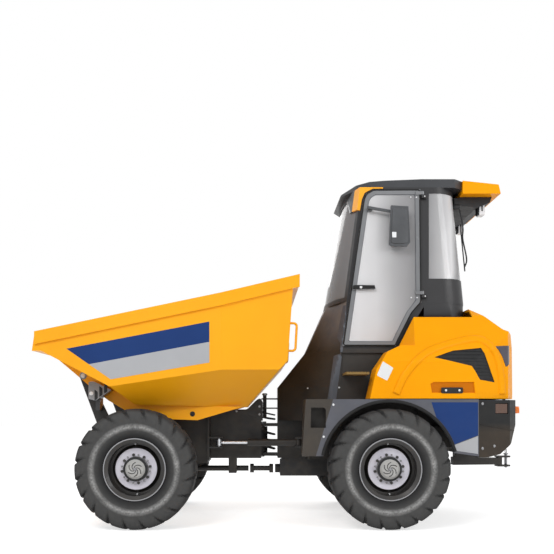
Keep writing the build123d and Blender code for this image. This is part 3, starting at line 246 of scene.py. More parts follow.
def rim_paint(name, node):
    """A black rim with a silver disc, dark nuts on it and a painted highlight: a bright grey ring round the
    flange's lip.
    """
    centre = middle_of(node)
    shader = Shader(name, roughness=0.38, coat=0.1)
    radius, across = shader.radius(centre.x, centre.z), shader.math("ABSOLUTE", shader.y)
    tone = shader.blend(6.0, (34, 34, 36), (22, 22, 24))
    silver = shader.blend(8.0, (232, 230, 240), (212, 210, 222))
    disc = shader.times(shader.math("LESS_THAN", radius, DISC_EDGE),
                       shader.within(across, DISC_FACE - 0.02, DISC_FACE + 0.0008))
    tone = shader.mix(disc, tone, silver)
    # painted highlight: the flange's lip outside this radius is a bright grey ring all round
    tone = shader.mix(shader.math("GREATER_THAN", radius, RIM_HIGHLIGHT_FROM), tone, (150, 151, 155))
    return sprayed(shader, tone, 0.06, 0.38)


def roof_paint():
    """A charcoal roof whose front corner caps are yellow."""
    shader = Shader("roof_paint", roughness=0.4, coat=0.1)
    charcoal = shader.blend(3.0, (52, 54, 58), (43, 45, 49))
    caps = shader.times(shader.math("LESS_THAN", shader.z, ROOF_EDGE_Z),
                       shader.math("GREATER_THAN", shader.math("ABSOLUTE", shader.y), ROOF_CAP_Y))
    return sprayed(shader, shader.mix(caps, charcoal, (255, 174, 12)), 0.0, 0.4)


def fender_paint():
    """Slate fenders whose front skirts, ahead of a slanting line, are dark brown: painted shade on the
    skirts' fronts.
    """
    shader = Shader("fender_paint", roughness=0.5, coat=0.05)
    slate = shader.blend(5.0, (84, 86, 95), (74, 76, 84))
    brown = shader.blend(5.0, (48, 41, 33), (38, 33, 28))
    # painted shade: the front skirts are dark brown ahead of this slanting line
    seam = shader.math("ADD", shader.x, shader.times(shader.z, SHADE_EDGE_SLOPE))
    return sprayed(shader, shader.mix(shader.math("GREATER_THAN", seam, SHADE_EDGE_AT), slate, brown), 0.05, 0.5)


def cowl_paint():
    """Brown-black cowls that turn slate grey above the nose's step."""
    shader = Shader("cowl_paint", roughness=0.45, specular=0.3)
    low = shader.blend(4.0, (60, 56, 52), (46, 45, 44))
    high = shader.blend(3.0, (112, 108, 106), (92, 94, 100), 0.35, 0.65)
    tone = shader.mix(shader.ramp(shader.z, COWL_STEP_Z, COWL_SLATE_Z), low, high)
    return sprayed(shader, tone, 0.02, 0.45)


def bumper_paint():
    """A near-black bumper that is browner below its ridge."""
    shader = Shader("bumper_paint", roughness=0.5, specular=0.2)
    black = shader.blend(4.0, (33, 34, 35), (27, 28, 29))
    brown = shader.blend(4.0, (62, 54, 46), (50, 44, 38))
    return sprayed(shader, shader.mix(shader.ramp(shader.z, *BUMPER_RIDGE_Z), black, brown), 0.02, 0.5)


def lamp_paint():
    """Head lamps: black casings with pale lenses on their front faces."""
    shader = Shader("lamp_paint", roughness=0.25, coat=0.3)
    lens = shader.math("GREATER_THAN", shader.x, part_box("head_lamps")[1].x - 0.005)
    shader.colour(shader.mix(lens, (30, 30, 32), (222, 226, 230)))
    return shader.bump(shader.noise(200.0, 2.0), 0.0004, 0.4)


def tail_paint():
    """Tail lamps: red, with an amber outer part; the lamps on the bumper's flanks are smoked."""
    shader = Shader("tail_paint", roughness=0.15, coat=0.3)
    across = shader.math("ABSOLUTE", shader.y)
    tone = shader.mix(shader.math("GREATER_THAN", across, AMBER_Y), (170, 22, 14), (240, 120, 14))
    flank = shader.times(shader.math("GREATER_THAN", across, FLANK_LAMP_Y),
                        shader.math("GREATER_THAN", shader.x, FLANK_LAMP_X))
    shader.colour(shader.mix(flank, tone, (92, 64, 50)))
    return shader.bump(shader.noise(300.0, 1.0), 0.0005, 0.5)


DUST = (150, 132, 104)
# the rim's painted highlight, a bright ring on the flange's lip, lies outside the last of these radii
DISC_EDGE, DISC_FACE, RIM_HIGHLIGHT_FROM = 0.187, 0.98, 0.268
ROOF_EDGE_Z, ROOF_CAP_Y = 3.149, 0.55      # the yellow caps are below and outside these
COWL_STEP_Z, COWL_SLATE_Z = 1.62, 1.86     # the foot of the upper cowl, and where it is wholly slate
BUMPER_RIDGE_Z = (0.95, 0.86)              # the bumper turns from black to brown between these
AMBER_Y = 0.53                             # tail lamps are red inside this and amber outside it
FLANK_LAMP_Y, FLANK_LAMP_X = 0.6, -2.085   # the smoked lamps are outside and ahead of these
SHADE_EDGE_SLOPE, SHADE_EDGE_AT = 0.304, -0.03         # the painted shade's edge on the front skirts is where x + slope * z is this
# base and shade tones, roughness, clear coat, dust, specular
PAINTS = {
    "skip_yellow": ((253, 176, 14), (249, 168, 10), 0.4, 0.05, 0.04, 0.25),
    "hood_yellow": ((253, 168, 0), (248, 160, 0), 0.38, 0.02, 0.0, 0.1),
    # the recess's darker orange is painted shade in the hood's latch recess
    "recess_orange": ((206, 116, 6), (190, 104, 4), 0.45, 0.0, 0.0, 0.1),
    "chassis_dark": ((34, 34, 35), (26, 26, 27), 0.5, 0.0, 0.08, 0.4),
    "frit_grey": ((128, 130, 133), (112, 114, 117), 0.2, 0.3, 0.0, 0.4),
    "cab_charcoal": ((42, 42, 44), (34, 34, 36), 0.42, 0.05, 0.0, 0.4),
    "step_brown": ((142, 112, 54), (116, 92, 50), 0.6, 0.0, 0.3, 0.4),
    "slate": ((84, 88, 96), (72, 76, 84), 0.45, 0.05, 0.1, 0.4),
    "blue_panel": ((33, 62, 118), (28, 54, 108), 0.45, 0.0, 0.02, 0.12),
    "grey_band": ((176, 178, 182), (164, 166, 170), 0.45, 0.0, 0.1, 0.4),
    "plate_white": ((236, 238, 240), (226, 228, 230), 0.4, 0.1, 0.05, 0.4),
    "hub_grey": ((186, 186, 184), (160, 160, 158), 0.45, 0.0, 0.05, 0.4),
    "guard_grey": ((150, 151, 154), (128, 129, 132), 0.4, 0.1, 0.15, 0.4),
    "smoked_lens": ((78, 74, 86), (66, 63, 74), 0.2, 0.3, 0.0, 0.4),
}
# base and shade tones, then roughness, grain scale and depth where they differ from the usual
PLASTICS = {
    "black_plastic": ((30, 31, 33), (22, 23, 25)),
    "rubber": ((20, 20, 21), (28, 28, 28), 0.75),
    "mirror_grey": ((84, 86, 89), (70, 72, 75), 0.4),
    "seat_cloth": ((44, 45, 49), (34, 35, 38), 0.9, 600.0, 0.001),
}
# (place along the axis, grey) bands of painted reflection, alpha, axis, specular
PANES = {
    "front_glass": (((0.0, 126), (0.4, 134), (0.62, 142)), 0.7, "y", 0.06),
    "door_glass": (((-1.2, 146), (-0.98, 190), (-0.82, 226), (-0.66, 236)), 0.74),
    "quarter_glass": (((-1.66, 186), (-1.60, 160), (-1.53, 242), (-1.42, 196), (-1.32, 166)), 0.74),
    "lamp_lens": (((-1.9, 226), (-1.86, 244)), 0.85),
}
MATERIALS = {name: make(name, *row) for make, table in ((paint, PAINTS), (plastic, PLASTICS), (glass, PANES))
             for name, row in table.items()}
MATERIALS |= {make.__name__: make() for make in (cowl_paint, bumper_paint, tyre_rubber, roof_paint,
                                                 fender_paint, lamp_paint, tail_paint)}
MATERIALS |= {
    "iron": casting("iron", (40, 40, 41), (62, 58, 54)),
    "bright_steel": bare_metal("bright_steel", (214, 216, 220), 0.18),
    "dull_steel": bare_metal("dull_steel", (150, 150, 152), 0.4),
    "rim_front": rim_paint("rim_front", "rim_front_left"),
    "rim_rear": rim_paint("rim_rear", "rim_rear_left"),
}
NODE_MATERIALS = {
    "skip_yellow": ("skip_shell", "skip_ribs", "skip_handles"),
    "hood_yellow": ("hood", "hood_shoulders", "rear_visor"),
    "chassis_dark": ("front_frame", "rear_frame", "tip_barrel", "steer_barrel", "hitch", "front_shaft",
                     "drive_shaft", "seat_base", "steering_column"),
    "frit_grey": ("door_left", "door_right"),
    "cab_charcoal": ("cab_frame",),
    "roof_paint": ("cab_roof",),
    "cowl_paint": ("nose_cowl", "dash_cowl", "cab_base"),
    "step_brown": ("steps",),
    "fender_paint": ("fenders",),
    "bumper_paint": ("bumper",),
    "black_plastic": ("visor_housing", "hood_grilles", "console", "steering_wheel"),
    "mirror_grey": ("mirror_left", "mirror_right"),
    "lamp_paint": ("head_lamps",),
    "iron": ("front_axle", "rear_axle", "gearbox", "engine"),
    "bright_steel": ("tip_rod", "steer_rod"),
    "dull_steel": ("skip_hinge_pins", "pivot_pin"),
    "front_glass": ("windscreen",),
    "quarter_glass": ("rear_glass",),
    "door_glass": ("door_glass_left", "door_glass_right"),
    "seat_cloth": ("seat",),
    "lamp_lens": ("work_lamps",),
    "tail_paint": ("tail_lamps",),
    "tyre_rubber": tuple(f"tyre_{end}_{hand}" for end, hand, _ in WHEELS),
    "rim_front": ("rim_front_left", "rim_front_right"),
    "rim_rear": ("rim_rear_left", "rim_rear_right"),
    "hub_grey": tuple(f"hub_{end}_{hand}" for end, hand, _ in WHEELS),
}
for material, nodes in NODE_MATERIALS.items():
    for node in nodes:
        NODES[node].data.materials.clear()
        NODES[node].data.materials.append(MATERIALS[material])


# ---------------------------------------------------------------- mesh making
def stitch(mesh, rows, look=0, caps=False, across=True, along=False):
    """Faces between neighbouring rows of vertices.

    `across` closes each row, `along` joins the last row to the first, and `caps` fills both end rows."""
    for first, second in zip(rows, rows[1:] + (rows[:1] if along else [])):
        for n in range(len(first) if across else len(first) - 1):
            after = (n + 1) % len(first)
            mesh.faces.new((first[n], first[after], second[after], second[n])).material_index = look
    for row in (rows[0], rows[-1]) if caps else ():
        mesh.faces.new(row).material_index = look


def mesh_data(name, mesh, looks, sharp):
    """The finished mesh, smooth except over edges of `sharp` degrees or more, in the given materials."""
    bmesh.ops.recalc_face_normals(mesh, faces=mesh.faces[:])
    for edge in mesh.edges:
        edge.smooth = len(edge.link_faces) == 2 and edge.calc_face_angle(pi) < radians(sharp)
    data = bpy.data.meshes.new(name)
    mesh.to_mesh(data)
    mesh.free()
    data.polygons.foreach_set("use_smooth", [True] * len(data.polygons))
    for look in looks:
        data.materials.append(MATERIALS[look])
    return data


def add_object(name, data):
    item = bpy.data.objects.new(name, data)
    bpy.context.scene.collection.objects.link(item)
    return item


def turns(count):
    """Angles of that many even steps of a full turn."""
    return [2 * pi * n / count for n in range(count)]


def around(centre, y, reach, angle):
    """The point at that reach and angle (radians) round a crosswise axis through the centre."""
    return centre.x + reach * cos(angle), y, centre.z + reach * sin(angle)


class Shape:
    """A mesh under construction, with short calls for the forms that the pieces share."""

    def __init__(self):
        self.mesh = bmesh.new()

    def prism(self, outline, low, high, axis="Y", bevel=0.0, look=0):
        """Outline in the two axes other than `axis`, in their order, drawn from low to high."""
        spread = {"X": lambda a, b, c: (c, a, b), "Y": lambda a, b, c: (a, c, b),
                  "Z": lambda a, b, c: (a, b, c)}[axis]
        base = [self.mesh.verts.new(spread(a, b, low)) for a, b in outline]
        face = self.mesh.faces.new(base)
        grown = bmesh.ops.extrude_face_region(self.mesh, geom=[face])["geom"]
        moved = [g for g in grown if isinstance(g, bmesh.types.BMVert)]
        bmesh.ops.translate(self.mesh, verts=moved, vec=Vector(spread(0, 0, high - low)))
        edges = {e for v in base + moved for e in v.link_edges}
        faces = {f for v in base + moved for f in v.link_faces}
        bmesh.ops.recalc_face_normals(self.mesh, faces=list(faces))
        for f in faces:
            f.material_index = look
        if bevel:
            bmesh.ops.bevel(self.mesh, geom=list(edges), offset=bevel, segments=2, affect="EDGES",
                            profile=0.6, clamp_overlap=True, material=look)

    def plate(self, outline, side, near, far, bevel=0.0, look=0):
        """A prism of that (X, Z) outline on one side of the machine, from |Y| = near to far."""
        self.prism(outline, *sorted((side * near, side * far)), bevel=bevel, look=look)

    def lathe(self, section, centre, axis, steps, look=0):
        """(radius, distance along the axis) section turned about an axis through centre."""
        turn = Vector(axis).normalized().to_track_quat("Z", "Y")
        rings = []
        for radius, distance in section:
            ring = [Vector((radius * cos(a), radius * sin(a), distance)) for a in turns(steps)]
            rings.append([self.mesh.verts.new(turn @ at + Vector(centre)) for at in ring])
        stitch(self.mesh, rings, look)
        for ring in (rings[0], rings[-1]):
            if (ring[0].co - ring[steps // 2].co).length > 1e-5:
                self.mesh.faces.new(ring).material_index = look

    def tube(self, path, radius, steps, look=0):
        """A round bar along the path's points, with its ends closed."""
        path = [Vector(p) for p in path]
        rings, across = [], None
        for n, point in enumerate(path):
            ahead = (path[min(n + 1, len(path) - 1)] - path[max(n - 1, 0)]).normalized()
            if across is None:
                across = ahead.orthogonal().normalized()
            across = (across - ahead * across.dot(ahead)).normalized()
            up = ahead.cross(across)
            rings.append([self.mesh.verts.new(point + radius * (cos(a) * across + sin(a) * up))
                          for a in turns(steps)])
        stitch(self.mesh, rings, look, caps=True)

    def bolt(self, place, direction, radius, height, look):
        """A washer with a hexagon head on it."""
        out = Vector(direction).normalized()
        washer = ((radius * 1.45, -0.002), (radius * 1.45, 0.0015), (radius * 1.2, 0.002))
        self.lathe(washer, place, out, 16, look)
        self.lathe(((radius, 0.001), (radius, height - 0.001), (radius * 0.8, height)), place, out, 6, look)

    def bolts(self, spots, side, across, radius, height, look):
        """Bolts at those (X, Z) spots on one side, with their heads outwards from |Y| = across."""
        for x, z in spots:
            self.bolt((x, side * across, z), (0, side, 0), radius, height, look)

    def flank_bolts(self, spots, side, nodes, radius, height, look):
        """Bolts at those (X, Z) spots, square to the nodes' flank."""
        for x, z in spots:
            self.bolt(*flank_point(nodes, x, z, side), radius, height, look)

    def skin(self, nodes, outline, side, thickness, cell, look=0):
        """A thin sheet of that (X, Z) outline that lies on the nodes' flank, out along side * Y."""
        sheet = bmesh.new()
        sheet.faces.new([sheet.verts.new((x, 0, z)) for x, z in outline])
        for axis in (0, 2):
            values = [p[axis // 2] for p in outline]
            cut = min(values) + cell
            while cut < max(values):
                place, normal = Vector(), Vector()
                place[axis], normal[axis] = cut, 1.0
                bmesh.ops.bisect_plane(sheet, geom=sheet.verts[:] + sheet.edges[:] + sheet.faces[:],
                                       plane_co=place, plane_no=normal)
                cut += cell
        lift = {}
        for vert in sheet.verts:
            hit, normal = flank_point(nodes, vert.co.x, vert.co.z, side)
            lift[vert] = [self.mesh.verts.new(hit + normal * height) for height in (thickness, -0.002)]
        for face in sheet.faces:
            for layer in (0, 1):
                self.mesh.faces.new([lift[v][layer] for v in face.verts]).material_index = look
        for edge in sheet.edges:
            if edge.is_boundary:
                (a, b), (c, d) = lift[edge.verts[0]], lift[edge.verts[1]]
                self.mesh.faces.new((a, c, d, b)).material_index = look
        sheet.free()

    def done(self, name, body, *looks, sharp=35.0):
        """Finishes the mesh as a piece that rides on the body, in the given materials."""
        piece = add_object(name, mesh_data(name, self.mesh, looks, sharp))
        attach(piece, body)
        return piece


TREES = {}


def flank_point(nodes, x, z, side):
    """Where a line from outside along -side * Y first meets one of the nodes, and the normal there."""
    start, best = Vector((x, side * 1.5, z)), None
    for node in nodes:
        if node not in TREES:
            TREES[node] = BVHTree.FromObject(NODES[node], bpy.context.evaluated_depsgraph_get())
        hit, normal, _, reach = TREES[node].ray_cast(start, Vector((0, -side, 0)))
        if hit is not None and (best is None or reach < best[2]):
            best = (hit, normal, reach)
    if best is None:
        hit, normal, _, reach = TREES[nodes[0]].find_nearest(Vector((x, side * 1.1, z)))
        best = (hit, normal, reach)
    hit, normal, _ = best
    return hit, normal if normal.y * side > 0 else -normal


def on_flank(nodes, x, z, side, height):
    """The point at that height over the nodes' flank."""
    hit, normal = flank_point(nodes, x, z, side)
    return hit + normal * height


def rounded(outline, radius, steps=4):
    """The outline with each corner cut back by the radius and rounded."""
    points = []
    count = len(outline)
    for n in range(count):
        corner = Vector(outline[n])
        before, after = Vector(outline[n - 1]), Vector(outline[(n + 1) % count])
        reach = min(radius, (before - corner).length * 0.45, (after - corner).length * 0.45)
        start = corner + (before - corner).normalized() * reach
        end = corner + (after - corner).normalized() * reach
        for k in range(steps + 1):
            t = k / steps
            point = start * (1 - t) ** 2 + corner * 2 * t * (1 - t) + end * t ** 2
            points.append((point.x, point.y))
    return points


def curve(points, steps=8):
    """A smooth line through the points."""
    points = [Vector(p) for p in points]
    padded = [2 * points[0] - points[1], *points, 2 * points[-1] - points[-2]]
    line = []
    for a, b, c, d in zip(padded, padded[1:], padded[2:], padded[3:]):
        for k in range(steps):
            t = k / steps
            line.append(0.5 * (2 * b + (c - a) * t + (2 * a - 5 * b + 4 * c - d) * t ** 2
                               + (3 * b - a - 3 * c + d) * t ** 3))
    return line + [points[-1]]


# ---------------------------------------------------------------- wheels
WHEEL_CENTRES = {(end, hand): middle_of(f"tyre_{end}_{hand}") for end, hand, _ in WHEELS}
LUG_PITCH = radians(18)
LUG_STEPS = 600
# sidewall and tread without lugs, then the lugs' crest over the same stations: (radius, offset)
BARE = ((0.257, 0.136), (0.266, 0.146), (0.277, 0.151), (0.290, 0.163), (0.305, 0.172), (0.325, 0.180),
        (0.345, 0.186), (0.357, 0.189), (0.362, 0.1925), (0.372, 0.1955), (0.382, 0.196), (0.388, 0.1945),
        (0.400, 0.197), (0.415, 0.198))
GROOVE = ((0.427, 0.197), (0.445, 0.193), (0.463, 0.186), (0.481, 0.177), (0.496, 0.167), (0.507, 0.155),
          (0.514, 0.140), (0.518, 0.120), (0.520, 0.090), (0.521, 0.060), (0.521, 0.035), (0.520, 0.012))
CREST = ((0.427, 0.1985), (0.447, 0.201), (0.469, 0.1995), (0.490, 0.194), (0.509, 0.184), (0.523, 0.170),
         (0.5325, 0.150), (0.5360, 0.125), (0.5372, 0.095), (0.5375, 0.065), (0.5375, 0.038), (0.5375, 0.014))
CENTRE_LINE = (0.519, 0.004)


def lug_cover(angle, share):
    """1 on a lug and 0 in a groove; share runs from 0 low on the sidewall to 1 at the centre."""
    sweep = radians(11.0) * (1 - share) ** 2
    off = (angle - sweep + LUG_PITCH / 2) % LUG_PITCH - LUG_PITCH / 2
    half = radians(7.6 - 0.4 * share)
    edge = radians(0.6)
    return min(1.0, max(0.0, (half - abs(off)) / edge + 0.5))


def half_tyre(hand):
    """Stations from the bead to the centre line: (lug's share or None, groove, crest)."""
    rows = [(hand, None, place, place) for place in BARE]
    rows += [(hand, n / (len(GROOVE) - 1), groove, crest)
             for n, (groove, crest) in enumerate(zip(GROOVE, CREST))]
    return rows + [(hand, None, CENTRE_LINE, CENTRE_LINE)]


def tyre_data():
    """One tyre about its own centre: a height field of staggered bar lugs on a rounded carcass."""
    mesh = bmesh.new()
    rings = []
    for hand, share, groove, crest in half_tyre(1) + half_tyre(-1)[::-1]:
        start = LUG_PITCH * (0.75 if hand > 0 else 0.25)
        ring = []
        for angle in turns(LUG_STEPS):
            cover = 0.0 if share is None else lug_cover(hand * (angle - start), share)
            radius = groove[0] + (crest[0] - groove[0]) * cover
            offset = groove[1] + (crest[1] - groove[1]) * cover
            ring.append(mesh.verts.new((radius * cos(angle), hand * offset, radius * sin(angle))))
        rings.append(ring)
    stitch(mesh, rings, along=True)
    return mesh_data("tyre", mesh, ("tyre_rubber",), 32.0)


TYRE_DATA = tyre_data()
for (end, hand), centre in WHEEL_CENTRES.items():
    tyre = add_object(f"tread_{end}_{hand}", TYRE_DATA)
    tyre.location = centre
    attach(tyre, f"wheel_{end}_{hand}")
    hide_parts(f"tyre_{end}_{hand}")

VANES, NUTS, NUT_CIRCLE = 6, 8, 0.127
VALVES = ((0.226, -92), (0.222, 88))                # each valve's (radius, degrees) on the rim


def make_hub_cap(end, hand, side):
    """A shallow cap on the hub's nose with swept vanes, a black ring round it as painted shade, the nuts and
    two valves.
    """
    centre = WHEEL_CENTRES[end, hand]
    face = max(abs(corner.y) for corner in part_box(f"hub_{end}_{hand}"))
    nose, out = (centre.x, side * face, centre.z), (0, side, 0)
    cap = Shape()
    cap.lathe(((0.0, 0.0035), (0.03, 0.0035), (0.062, 0.0015), (0.069, 0.0005), (0.069, -0.004)), nose, out,
              48, 0)
    # painted shade: a black ring round the cap fills the gap about the hub, where shade falls
    cap.lathe(((0.104, -0.034), (0.1085, -0.034), (0.1085, -0.0185), (0.1, -0.0165), (0.09, -0.014)), nose,
              out, 48, 1)
    for start in turns(VANES):
        cap.tube([around(centre, side * face + side * 0.0035, 0.012 + 0.052 * k / 8, start + 1.7 * k / 8)
                  for k in range(9)], 0.0032, 6, 1)
    cap.bolt((centre.x, side * face + side * 0.003, centre.z), out, 0.012, 0.008, 2)
    for turn in turns(NUTS):
        at = around(centre, side * (DISC_FACE + 0.012), NUT_CIRCLE, radians(10) + turn)
        cap.lathe(((0.0, 0.0), (0.0085, 0.0), (0.0085, 0.009), (0.006, 0.011), (0.0, 0.011)), at, out, 12, 2)
    for reach, angle in VALVES:
        spot = Vector(around(centre, side * 0.944, reach, radians(angle)))
        cap.tube((spot, spot + Vector((0, side * 0.04, 0))), 0.0055, 8, 3)
    cap.done(f"hub_cap_{end}_{hand}", f"wheel_{end}_{hand}", "hub_grey", "black_plastic", "dull_steel",
             "plate_white")


for end, hand, side in WHEELS:
    make_hub_cap(end, hand, side)

# ---------------------------------------------------------------- skip
DECAL_TOP = ((1.986, 1.608), (0.719, 1.849))        # upper edge, (X, Z), front to back
DECAL_SPLIT = ((1.788, 1.470), (0.719, 1.669))
DECAL_FOOT = ((1.595, 1.337), (0.719, 1.486))
HINGE = middle_of("skip_hinge_pins")
RIB_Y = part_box("skip_ribs")[1].y
RIB_WELDS = (((0.46, 1.092), (1.405, 1.111)), ((1.425, 1.121), (1.598, 1.266)),
             ((1.615, 1.276), (2.195, 1.579)))


def make_skip_bands(hand, side):
    """The painted bands on the skip's flank: blue over grey, cut off along the floor's slope."""
    bands = Shape()
    for look, (top, foot) in enumerate(((DECAL_TOP, DECAL_SPLIT), (DECAL_SPLIT, DECAL_FOOT))):
        bands.skin(("skip_shell",), [*top, *reversed(foot)], side, 0.0015, 0.3, look)
    bands.done(f"skip_bands_{hand}", "skip", "blue_panel", "grey_band")


def weld(shape, start, end, radius):
    """A weld bead: a line of small overlapping ripples."""
    start, end = Vector(start), Vector(end)
    count = max(8, int((end - start).length / 0.012))
    path = [start.lerp(end, n / count) for n in range(count + 1)]
    for n, (a, b) in enumerate(zip(path, path[1:])):
        shape.tube((a, a.lerp(b, 0.55), b), radius * (1.0 if n % 2 else 0.86), 6)


def make_skip_fittings(hand, side):
    """Plug, end cover and bolt of the hinge pin, and weld beads along the skip's rib."""
    bits = Shape()
    out = (0, side, 0)
    bits.lathe(((0.024, -0.001), (0.024, 0.004), (0.019, 0.007), (0.0, 0.0075)),
               (0.9, side * RIB_Y, 1.027), out, 28, 1)
    bits.lathe(((0.034, 0.0), (0.034, 0.004), (0.02, 0.0045)), (HINGE.x, side * (RIB_Y + 0.0005), HINGE.z),
               out, 32, 2)
    bits.bolt((HINGE.x, side * 0.66, HINGE.z), out, 0.014, 0.01, 3)
    for (x0, z0), (x1, z1) in RIB_WELDS:
        weld(bits, (x0, side * (RIB_Y - 0.001), z0), (x1, side * (RIB_Y - 0.001), z1), 0.0045)
    bits.done(f"skip_fittings_{hand}", "skip", "skip_yellow", "black_plastic", "guard_grey", "plate_white")


for hand, side in SIDES:
    make_skip_bands(hand, side)
    make_skip_fittings(hand, side)

# ---------------------------------------------------------------- head lamps
GUARD_OUTLINE = ((1.633, 1.248), (1.775, 1.150), (1.843, 1.166), (1.840, 1.322), (1.796, 1.327))
GUARD_BARS = ((1.668, 1.232), (1.712, 1.200), (1.756, 1.168))     # lower ends of the openings, (X, Z)


def make_head_lamp_guard(hand, side):
    """A pressed plate over the lamp's outer side, with dark slots and a round side lamp."""
    front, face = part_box("head_lamps")[1].x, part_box("head_lamps")[1].y
    out, skin = (0, side, 0), face + 0.004
    guard = Shape()
    guard.plate(rounded(GUARD_OUTLINE, 0.012), side, face, skin)
    for x, z in GUARD_BARS:
        slot = ((x, z), (x + 0.03, z - 0.018), (x + 0.03, z + 0.085), (x, z + 0.062))
        guard.plate(rounded(slot, 0.008), side, skin, face + 0.0055, look=1)
    guard.lathe(((0.0, 0.006), (0.016, 0.005), (0.019, 0.001)), (1.815, side * skin, 1.215), out, 24, 2)
    guard.bolts(((1.822, 1.29), (1.822, 1.175)), side, skin, 0.005, 0.004, 3)
    for z in (1.205, 1.262):
        guard.lathe(((0.030, -0.006), (0.030, 0.006), (0.0255, 0.008), (0.024, 0.002)),
                    (front - 0.006, side * 0.745, z), (1, 0, 0), 32, 1)
    guard.done(f"head_lamp_guard_{hand}", "front_chassis", "guard_grey", "black_plastic", "plate_white",
               "dull_steel")


for hand, side in SIDES:
    make_head_lamp_guard(hand, side)

# ---------------------------------------------------------------- hood
HOOD_NODES = ("hood", "hood_shoulders", "hood_grilles")
CREASE = ((-0.947, 1.212), (-1.014, 1.359), (-1.134, 1.506), (-1.281, 1.606), (-1.535, 1.686),
          (-1.735, 1.706), (-1.865, 1.572), (-1.922, 1.386), (-1.935, 1.212))
CREASE_HALF, CREASE_RISE = 0.036, 0.016
HOOD_PLATE = ((-0.826, 1.499), (-0.920, 1.439), (-0.866, 1.325), (-0.773, 1.372))
LATCH = (-1.540, -1.348, 1.212, 1.265)              # X and Z limits of the handle
LATCH_BOLTS = ((-1.388, 1.239), (-1.508, 1.239))
# outline of the painted shade on the latch recess's floor
RECESS_SHADE_OUTLINE = ((-1.268, 1.219), (-1.255, 1.298), (-1.283, 1.311), (-1.637, 1.311), (-1.648, 1.219))
CORNER_LAMP = ((-1.852, 1.640), (-2.012, 1.652), (-2.020, 1.490), (-1.975, 1.455), (-1.935, 1.550),
               (-1.893, 1.612))


def make_crease(hand, side):
    """The raised arch pressed into the hood's flank, with rounded shoulders."""
    band = Shape()
    line = curve([(x, 0, z) for x, z in CREASE], 10)
    section = ((-1.0, -0.001), (-0.86, 0.55), (-0.6, 1.0), (0.6, 1.0), (0.86, 0.55), (1.0, -0.001))
    rows = []
    for n, point in enumerate(line):
        ahead = line[min(n + 1, len(line) - 1)] - line[max(n - 1, 0)]
        across = Vector((-ahead.z, 0, ahead.x)).normalized()
        row = []
        for share, rise in section:
            at = point + across * share * CREASE_HALF
            height = rise * CREASE_RISE if rise > 0 else -0.002
            row.append(band.mesh.verts.new(on_flank(HOOD_NODES[:2], at.x, at.z, side, height)))
        rows.append(row)
    stitch(band.mesh, rows, across=False)
    band.done(f"hood_crease_{hand}", "hood", "hood_yellow", sharp=50.0)


def make_hood_fittings(hand, side):
    """The flank's latch in its recess, painted shade over the recess's floor, a blank plate and the smoked
    lens on the hood's rear corner.
    """
    bits = Shape()
    x0, x1, z0, z1 = LATCH
    floor = abs(flank_point(("hood",), -1.45, 1.24, side)[0].y)
    face = floor + 0.019
    bits.plate(rounded(((x0, z0), (x1, z0), (x1, z1), (x0, z1)), 0.012), side, floor, face, 0.003, 1)
    bits.bolts(LATCH_BOLTS, side, face, 0.007, 0.005, 2)
    bits.skin(HOOD_NODES[:2], rounded(HOOD_PLATE, 0.01), side, 0.0012, 0.2, 0)
    bits.skin(HOOD_NODES[:2], rounded(CORNER_LAMP, 0.008), side, 0.004, 0.015, 3)
    # painted shade: a thin darker orange sheet over the recess's floor
    bits.skin(("hood",), RECESS_SHADE_OUTLINE, side, 0.0008, 0.2, 4)
    bits.done(f"hood_fittings_{hand}", "hood", "plate_white", "black_plastic", "plate_white", "smoked_lens",
              "recess_orange")


GRILLE_MESH = ((-1.296, 1.530), (-1.469, 1.592), (-1.722, 1.617), (-1.844, 1.322), (-1.704, 1.343),
               (-1.626, 1.463))


def make_flank_grille(hand, side):
    """Louvres over the dark inlet in the hood's flank."""
    louvres = Shape()
    for n in range(9):
        z = 1.345 + 0.031 * n
        crossing = []
        for (xa, za), (xb, zb) in zip(GRILLE_MESH, GRILLE_MESH[1:] + GRILLE_MESH[:1]):
            if (za - z) * (zb - z) < 0:
                crossing.append(xa + (xb - xa) * (z - za) / (zb - za))
        crossing.sort()
        for start, end in zip(crossing[::2], crossing[1::2]):
            louvres.tube([on_flank(("hood_grilles",), start + (end - start) * k / 8, z, side, 0.0015)
                          for k in range(9)], 0.0048, 6)
    louvres.done(f"flank_louvres_{hand}", "hood", "black_plastic")


def make_grille_screen():
    """The finned screen behind the hood's rear grille."""
    screen = Shape()
    screen.prism(((-2.0700, 1.636), (-2.0730, 1.636), (-2.0845, 1.256), (-2.0815, 1.256)), -0.422, 0.422)
    for n in range(53):
        y = -0.418 + 0.016 * n
        fin = ((-2.0728, 1.630), (-2.0755, 1.630), (-2.0870, 1.262), (-2.0840, 1.262))
        screen.prism(fin, y, y + 0.004)
    screen.done("grille_screen", "hood", "black_plastic")


make_grille_screen()
for hand, side in SIDES:
    make_crease(hand, side)
    make_hood_fittings(hand, side)
    make_flank_grille(hand, side)

# ---------------------------------------------------------------- fenders and rear skirts
REAR_WHEEL = WHEEL_CENTRES["rear", "left"]
ARCH, LIP = 0.592, 0.027
LIP_FROM, LIP_TO = 11.5, 165.0                       # degrees round the rear wheel, front to back
SKIRT_REAR_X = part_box("fenders")[0].x + 0.008
FENDER_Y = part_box("fenders")[1].y


def on_arch(radius, z):
    """X of the rear side of a circle round the rear wheel at height z."""
    return REAR_WHEEL.x - sqrt(radius ** 2 - (z - REAR_WHEEL.z) ** 2)


def make_arch_lip(hand, side):
    """The black rubber lip that follows the wheel arch."""
    lip = Shape()
    section = ((ARCH - 0.001, -0.006), (ARCH - 0.001, 0.006), (ARCH + 0.004, 0.0095),
               (ARCH + LIP - 0.005, 0.0095), (ARCH + LIP, 0.006), (ARCH + LIP, -0.002))
    rows = []
    steps = 72
    for n in range(steps + 1):
        angle = radians(LIP_FROM + (LIP_TO - LIP_FROM) * n / steps)
        rows.append([lip.mesh.verts.new(around(REAR_WHEEL, side * (FENDER_Y + y), reach, angle))
                     for reach, y in section])
    stitch(lip.mesh, rows, caps=True)
    lip.done(f"arch_lip_{hand}", "rear_chassis", "rubber")


